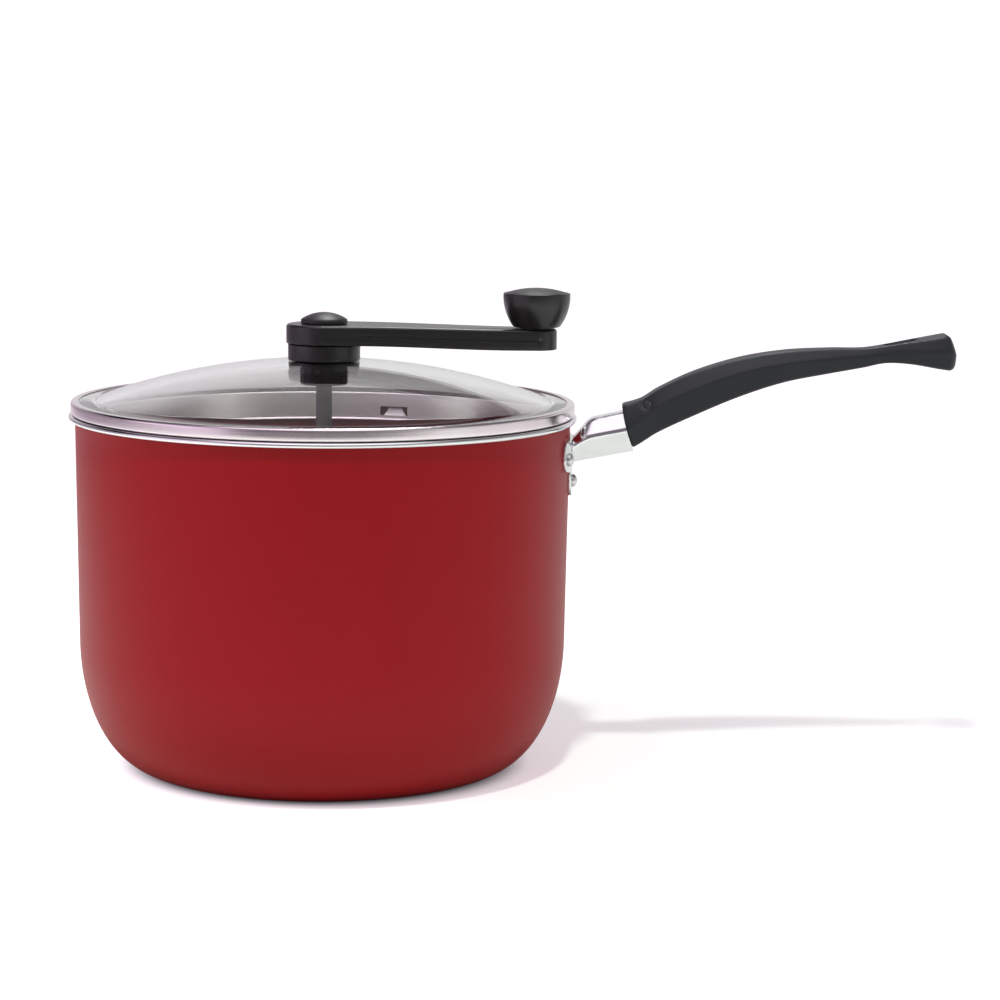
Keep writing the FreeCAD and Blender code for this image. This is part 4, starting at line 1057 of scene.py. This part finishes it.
# inset, level and rise of each ring, from the underside up, with the groove at half height
arm_layers = [(2.4, 0.0, 0.0)]
arm_layers += [(LOW_ROUND * (1 - math.sin(a)), 0.0, LOW_ROUND * (1 - math.cos(a)))
               for a in (math.pi / 2 * i / 4 for i in range(5))]
arm_layers += [(0.0, 0.0, 2.0), (0.0, 0.45, -0.16), (0.16, 0.45, 0.0), (0.0, 0.45, 0.16), (0.0, 1.0, -3.0)]
arm_layers += [(TOP_ROUND * (1 - math.cos(a)), 1.0, -TOP_ROUND * (1 - math.sin(a)))
               for a in (math.pi / 2 * i / 8 for i in range(9))]
arm_layers += [(3.2, 1.0, 0.02), (5.2, 1.0, 0.03)]
GROOVE_LAYER = 8
arm_rings = []
for k, (inset, part, rise) in enumerate(arm_layers):
    if k == GROOVE_LAYER:
        # the parting groove is only there between the hub and the arm's end
        flush = arm_outline(0.0)
        deep = arm_outline(inset)
        plan = [b if HUB_R < a[0] < ARM + 2.0 else a for a, b in zip(flush, deep)]
    else:
        plan = arm_outline(inset)
    arm_rings.append([(x, y, arm_level(x, part) + rise) for x, y in plan])
arm = solid("arm", arm_rings, sharp=32)
carve(arm, [[(ARM + HEAD_R * c, HEAD_R * s, z) for c, s in circle(48)]
            for z in (END_LOW - 3.0, END_LOW + HEAD_DEPTH)])
soften(arm, 32)
dress(arm, moulded_material, "crank", "crank_plastic", "crank_arm")

# ---- Cap over the crank screw -------------------------------------------------
# A small domed cap of moulded black nylon snaps into the hub. It covers the zinc-plated
# screw and washer that hold the arm on the shaft.

CAP_R = 10.45
CAP_SIDE = 201.95
CAP_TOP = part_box("crank_cap")[1].z / MM


def domed(radius, start, low, top):
    """Outline of a dome of a given radius and height, from a start radius in to the axis."""
    rise = top - low
    sphere = (radius ** 2 + rise ** 2) / (2 * rise)
    radii = [start * (1 - i / 14) for i in range(15)]
    return [(r, top - sphere + math.sqrt(sphere ** 2 - r * r)) for r in radii]


cap_outline = (
    [(0, HUB_TOP + 0.02), (9.4, HUB_TOP + 0.02), (9.7, HUB_TOP + 0.25)]
    + arc(CAP_R - 0.25, HUB_TOP + 0.5, 0.25, -60, 0, 4)
    + [(CAP_R, CAP_SIDE - 0.3)]
    + arc(CAP_R - 0.3, CAP_SIDE - 0.3, 0.3, 15, 60, 3)
    + domed(CAP_R, CAP_R - 0.25, CAP_SIDE, CAP_TOP)
)
cap = make_piece("cap", *turned_mesh(cap_outline, 96))
# the cap and the knob's top come out of a smoother mould
smooth_material = plain_finish(
    "smooth_black", {"Specular IOR Level": 0.5, "IOR": 1.5},
    [(9.0, 2.0), (0.5, 2.0)], [(30, 28, 30), (36, 34, 36)],
    roughness=(0.40, 0.08, 0.04), relief=(0.01, 0.4))
dress(cap, smooth_material, "crank", "crank_plastic", "crank_cap")
paint(zinc_material, "crank_screw", "crank_washer")

# ---- Knob ---------------------------------------------------------------------
# A bowl-shaped knob of moulded black nylon turns freely on a steel axle, which is pressed
# into the arm from below. A slightly domed disc snaps into its top, over a push nut.

KNOB_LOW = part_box("knob_body")[0].z / MM
KNOB_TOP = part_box("knob_insert")[1].z / MM
KNOB_R = 15.0
KNOB_RIM = 215.05
RIM_ROUND = 0.6
FOOT_R = 10.7
BOWL = (-8.28, 213.69, 23.286)  # centre and radius of the bowl's outline
INSERT_R = 13.5
SEAT_Z = KNOB_RIM - 1.6
POCKET_R = 6.5
POCKET_Z = 207.0
KNOB_BORE_R = 2.55


def on_axle(name, outline):
    """Turned piece round the knob's axle."""
    points, faces = turned_mesh(outline, 112)
    return make_piece(name, [(x + ARM, y, z) for x, y, z in points], faces)


knob = on_axle("knob", (
    [(KNOB_BORE_R, KNOB_LOW), (FOOT_R - 1.2, KNOB_LOW)]
    + arc(FOOT_R - 0.85, KNOB_LOW + 0.6, 0.6, -90, -20, 5)
    + arc(BOWL[0], BOWL[1], BOWL[2], -35.4, -1.2, 20)
    + [(KNOB_R, KNOB_RIM - 0.9)]
    + arc(KNOB_R - RIM_ROUND, KNOB_RIM - RIM_ROUND, RIM_ROUND, 0, 90, 6)
    + [(INSERT_R + 0.3, KNOB_RIM), (INSERT_R + 0.04, KNOB_RIM - 0.25), (INSERT_R + 0.03, SEAT_Z)]
    + [(POCKET_R, SEAT_Z), (POCKET_R, POCKET_Z), (KNOB_BORE_R, POCKET_Z)]
))
dress(knob, moulded_material, "knob", "crank_plastic", "knob_body")

insert_side = KNOB_RIM + 0.05
insert = on_axle("knob_top", (
    [(0, SEAT_Z), (INSERT_R, SEAT_Z), (INSERT_R, insert_side - 0.15)]
    + domed(INSERT_R, INSERT_R - 0.15, insert_side, KNOB_TOP)
))
dress(insert, smooth_material, "knob", "crank_plastic", "knob_insert")
paint(moulded_material, "knob_washer")
paint(zinc_material, "knob_axle", "knob_push_nut")

# ---- Stirrer ------------------------------------------------------------------
# A turned hub is pinned to the foot of the shaft and holds two stainless wires: a long one
# that follows the pot's lower corner, and a short one for the middle of the floor.

WIRE_R = 1.6
WIRE_GAP = 1.5                  # between the wires and the pot's floor
WIRE_STEPS = 20
CORNER_TURN = 53.6              # degrees that the long wire follows the pot's corner
SHORT_REACH = 60.4
STIR_HUB_R = 7.5
STIR_HUB_LOW, STIR_HUB_HIGH = (corner.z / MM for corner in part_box("stirrer_hub"))
wire_z = FLOOR + WIRE_GAP + WIRE_R
hub_hole_z = wire_z + 4.0


def bent_wire(name, path):
    """Round wire along a path of (x, z) points, with rounded tips."""
    spots = [Vector((x, 0, z)) for x, z in path]
    side = Vector((0, 1, 0))
    rings = []
    for before, spot, after in zip(spots[:1] + spots, spots, spots[1:] + spots[-1:]):
        up = (after - before).normalized().cross(side)
        near_end = min((spots[-1] - spot).length, WIRE_R)
        radius = math.sqrt(max(WIRE_R ** 2 - (WIRE_R - near_end) ** 2, 0.02))
        rings.append([spot + (side * c + up * s) * radius for c, s in circle(WIRE_STEPS)])
    return solid(name, rings)


def floor_run(reach):
    """Path of a wire from the hub down to the floor and out to a reach."""
    leaves, lands = 9.5, 17.5
    path = [(SHAFT_R + 0.1, hub_hole_z), (6.0, hub_hole_z), (leaves, hub_hole_z)]
    for t in (i / 12 for i in range(1, 12)):
        path.append((leaves + (lands - leaves) * t, hermite(t, hub_hole_z, 0.0, wire_z, 0.0)))
    return path + [(lands, wire_z)] + line((lands, wire_z), (reach, wire_z), 12) + [(reach, wire_z)]


corner_x = LOWER_R - WALL - BASE_R - WIRE_GAP - WIRE_R
corner_z = CORNER_Z - wire_z
long_path = floor_run(BASE_R)
long_path += [(BASE_R + corner_x * math.sin(a), CORNER_Z - corner_z * math.cos(a))
              for a in (math.radians(CORNER_TURN * i / 24) for i in range(1, 25))]
tip = Vector(long_path[-1])
tip_way = (tip - Vector(long_path[-2])).normalized()
long_path += [tuple(tip + tip_way * d) for d in (0.5, 1.0, 1.3, 1.5)]
long_wire = bent_wire("stir_wire_long", long_path)
short_path = floor_run(SHORT_REACH) + [(SHORT_REACH + d, wire_z) for d in (0.5, 1.0, 1.4, 1.6)]
short_wire = bent_wire("stir_wire_short", short_path)
for vertex in short_wire.data.vertices:
    vertex.co.x = -vertex.co.x
short_wire.data.flip_normals()

HUB_ROUND = 0.9
# a shallow groove is turned round the middle of the hub
stir_outline = (
    [(SHAFT_R + 0.02, STIR_HUB_LOW)]
    + arc(STIR_HUB_R - HUB_ROUND, STIR_HUB_LOW + HUB_ROUND, HUB_ROUND, -90, 0, 5)
    + [(STIR_HUB_R, 15.0), (STIR_HUB_R - 0.25, 15.2), (STIR_HUB_R - 0.25, 15.6), (STIR_HUB_R, 15.8)]
    + arc(STIR_HUB_R - HUB_ROUND, STIR_HUB_HIGH - HUB_ROUND, HUB_ROUND, 0, 90, 5)
    + [(SHAFT_R + 0.02, STIR_HUB_HIGH)]
)
stir_hub = make_piece("stir_hub", *turned_mesh(stir_outline, 72))

stirrer_material = plain_finish(
    "stirrer_steel", {"Metallic": 1.0}, [(12.0, 3.0), (0.5, 3.0)], [(186, 184, 182), (206, 205, 203)],
    roughness=(0.22, 0.12, 0.05), relief=(0.01, 0.4))
dress(long_wire, stirrer_material, "crank", "stirrer_steel", "stirrer_wire_long")
dress(short_wire, stirrer_material, "crank", "stirrer_steel", "stirrer_wire_short")
dress(stir_hub, stirrer_material, "crank", "stirrer_steel", "stirrer_hub")
paint(zinc_material, "stirrer_pin")

# ---- Floor, light and camera --------------------------------------------------
# A white floor that keeps the pot's shadow, with a painted contact shadow round the base and painted
# light that whitens its shadows on the left and further off. Three soft lamps light the object and one
# shines on the black plastic from behind; the metal and the glass mirror the world's boxes.

floor = make_piece("floor", [(-4000, -900, 0), (4000, -900, 0), (4000, 6000, 0), (-4000, 6000, 0)],
                   [(0, 1, 2, 3)])
ground = Finish("white_floor", {"Roughness": 0.9, "Specular IOR Level": 0.0})
spot = ground.place()
across = ground.node("ShaderNodeSeparateXYZ", None, [spot])
from_pot = ground.vector("LENGTH", spot, out=1)
glossy = ground.is_ray("Glossy")
# painted contact shadow: close to the base the floor's colour and glow are dark, and further off it shines
# white by itself
clear_of_painted_contact_shadow = ground.ramp(from_pot, 0.077, 0.096)
# painted light: the glow grows further from the pot, so that shadows fade out there
fade = ground.ramp(from_pot, 0.14, 0.65)
# painted light: the floor's own glow is stronger on the left, where it whitens the shadows, and weaker on
# the right, where the pot's shadow shows
right_side = ground.ramp(across, -0.10, 0.10, 0.97, 0.50)
own = (right_side + (1.0 - right_side) * fade) * clear_of_painted_contact_shadow
# painted shade and painted reflection: near the pot the floor is darkened in what the metal and the enamel
# mirror and in the light it bounces, and the metal and the enamel see less of it, least of all on the left
shaded = ground.ramp(from_pot, 0.08, 0.19)
painted_reflection_strength = ground.ramp(across, -1.3, -0.5, 0.22, 0.68) * glossy * shaded
seen = ground.is_ray("Camera").math("MAXIMUM", ground.is_ray("Transmission")).math("MAXIMUM", painted_reflection_strength)
# painted light: for diffuse rays the floor round the pot glows by itself, standing in for light bounced
# onto the pot's lower wall
painted_bounce_glow = ground.ramp(from_pot, 0.20, 0.50, 0.35, 0.0) * shaded * ground.is_ray("Diffuse")
# painted contact shadow in the floor's colour: near black at the base, green-tinged white further off
white_with_painted_contact_shadow = ground.blend(clear_of_painted_contact_shadow, (0.06, 0.05, 0.05, 1.0), (0.90, 1.0, 0.90, 1.0))
far_off = ground.ramp(from_pot, 0.55, 1.1)
ground.shade({"Base Color": ground.blend(far_off, white_with_painted_contact_shadow, (0.45, 0.48, 0.45, 1.0))})
# painted reflection: what the metal and the enamel mirror of the floor on the left is tinted pink-lavender
leftward = ground.ramp(across, -1.2, -0.4, 1.0, 0.0)
painted_reflection_colour = ground.blend(leftward, (1.0, 0.97, 1.0, 1.0), (1.0, 0.62, 0.98, 1.0))
# painted tint of shade: the glow is lavender and the floor's colour green-tinged, so that lit floor adds
# up to white and its shadows stay lavender
glow = ground.node("ShaderNodeEmission", None, {
    "Color": ground.blend(glossy, (1.0, 0.90, 1.0, 1.0), painted_reflection_colour),
    "Strength": seen * own + painted_bounce_glow,
})
both = ground.node("ShaderNodeAddShader", None, [Value(ground, ground.shader.outputs[0]), glow])
ground.tree.links.new(both.socket, ground.tree.nodes["Material Output"].inputs["Surface"])
floor.data.materials.append(ground.material)

world = bpy.data.worlds.new("studio")
bpy.context.scene.world = world
world.use_nodes = True
sky = Nodes(world.node_tree)
direction = sky.node("ShaderNodeTexCoord", out="Generated")


def soft_box(way, start, end, low, high):
    """Light of a soft box: from low to high as a direction comes near to the box's own."""
    near = sky.vector("DOT_PRODUCT", direction, Vector(way).normalized(), out=1)
    return sky.ramp(near, start, end, low, high)


backdrop = soft_box((0, 1, 0.15), -0.97, -0.40, 0.22, 0.78) * soft_box((0, 0, 1), 0.22, 0.62, 1.0, 0.20)
left_box = soft_box((-0.906, -0.423, 0.1), 0.82, 0.93, 0.0, 0.42)
dark_left = soft_box((-0.857, 0.515, 0.1), 0.75, 0.95, 0.0, -0.40)
overhead = soft_box((0, -0.30, 0.95), 0.75, 0.93, 0.0, 1.4)
dark_strip = soft_box((0, 0.74, 0.67), 0.91, 0.97, 0.0, -0.85)
in_gloss = backdrop + left_box + dark_left + overhead
lit = sky.node("ShaderNodeMix", None, {0: sky.is_ray("Diffuse"), 2: in_gloss, 3: 0.20})
# the camera sees plain white, and through the glass the overhead box and the dark strip too
through_glass = sky.is_ray("Transmission")
direct = sky.is_ray("Camera").math("MAXIMUM", through_glass)
white = (overhead + dark_strip).math("MULTIPLY_ADD", through_glass, 1.0)
# gloss and glass see a faint lavender on the left
lavender = soft_box((-0.97, -0.25, 0), -0.35, 0.95, 0.05, 1.0)
tinted = lavender * sky.is_ray("Glossy").math("MAXIMUM", through_glass)
shown = {
    "Color": sky.blend(tinted, (1.0, 1.0, 1.0, 1.0), (0.95, 0.77, 0.96, 1.0)),
    "Strength": sky.node("ShaderNodeMix", None, {0: direct, 2: lit, 3: white}),
}
for socket, value in shown.items():
    sky.tree.links.new(value.socket, sky.tree.nodes["Background"].inputs[socket])


def soft_light(name, place_m, aim_m, width, height, power):
    """Rectangular soft light that faces a point."""
    data = bpy.data.lights.new(name, "AREA")
    data.shape = "RECTANGLE"
    data.size = width
    data.size_y = height
    data.energy = power
    lamp = bpy.data.objects.new(name, data)
    bpy.context.collection.objects.link(lamp)
    lamp.location = place_m
    lamp.rotation_mode = "QUATERNION"
    lamp.rotation_quaternion = (Vector(aim_m) - Vector(place_m)).to_track_quat("-Z", "Y")
    lamp.visible_glossy = False     # what shines in the metal are the world's own boxes
    return lamp


soft_light("key", (0.03, -0.80, 1.70), (0.05, 0.0, 0.08), 0.10, 0.10, 11.5)
soft_light("left", (-1.50, -0.50, 0.80), (0.0, 0.0, 0.10), 0.5, 0.8, 9.0)
soft_light("right", (1.30, -0.80, 0.70), (0.0, 0.0, 0.10), 0.5, 0.8, 4.0)
# from behind, for the sheen on top of the black plastic alone
edge_light = soft_light("edge", (0.08, 0.78, 1.60), (0.05, 0.0, 0.20), 0.35, 0.63, 13.0)
edge_light.visible_glossy = True
edge_light.visible_diffuse = False
edge_light.visible_transmission = False

CAMERA_AT = (0.1133, -1.2951, 0.3073)
CAMERA_HEADING = 1.482          # degrees left of straight ahead
CAMERA_PITCH = -8.173
CAMERA_ROLL = 0.687
LENS = 104.33
camera_data = bpy.data.cameras.new("camera")
camera_data.lens = LENS
camera_data.sensor_width = 36.0
camera = bpy.data.objects.new("camera", camera_data)
bpy.context.collection.objects.link(camera)
turn = Matrix.Rotation(math.radians(CAMERA_HEADING), 4, "Z")
tilt = Matrix.Rotation(math.radians(90 + CAMERA_PITCH), 4, "X")
roll = Matrix.Rotation(math.radians(CAMERA_ROLL), 4, "Z")
camera.matrix_world = Matrix.Translation(CAMERA_AT) @ turn @ tilt @ roll
camera_data.clip_end = 50.0
bpy.context.scene.camera = camera
bpy.context.scene.view_settings.view_transform = "Standard"
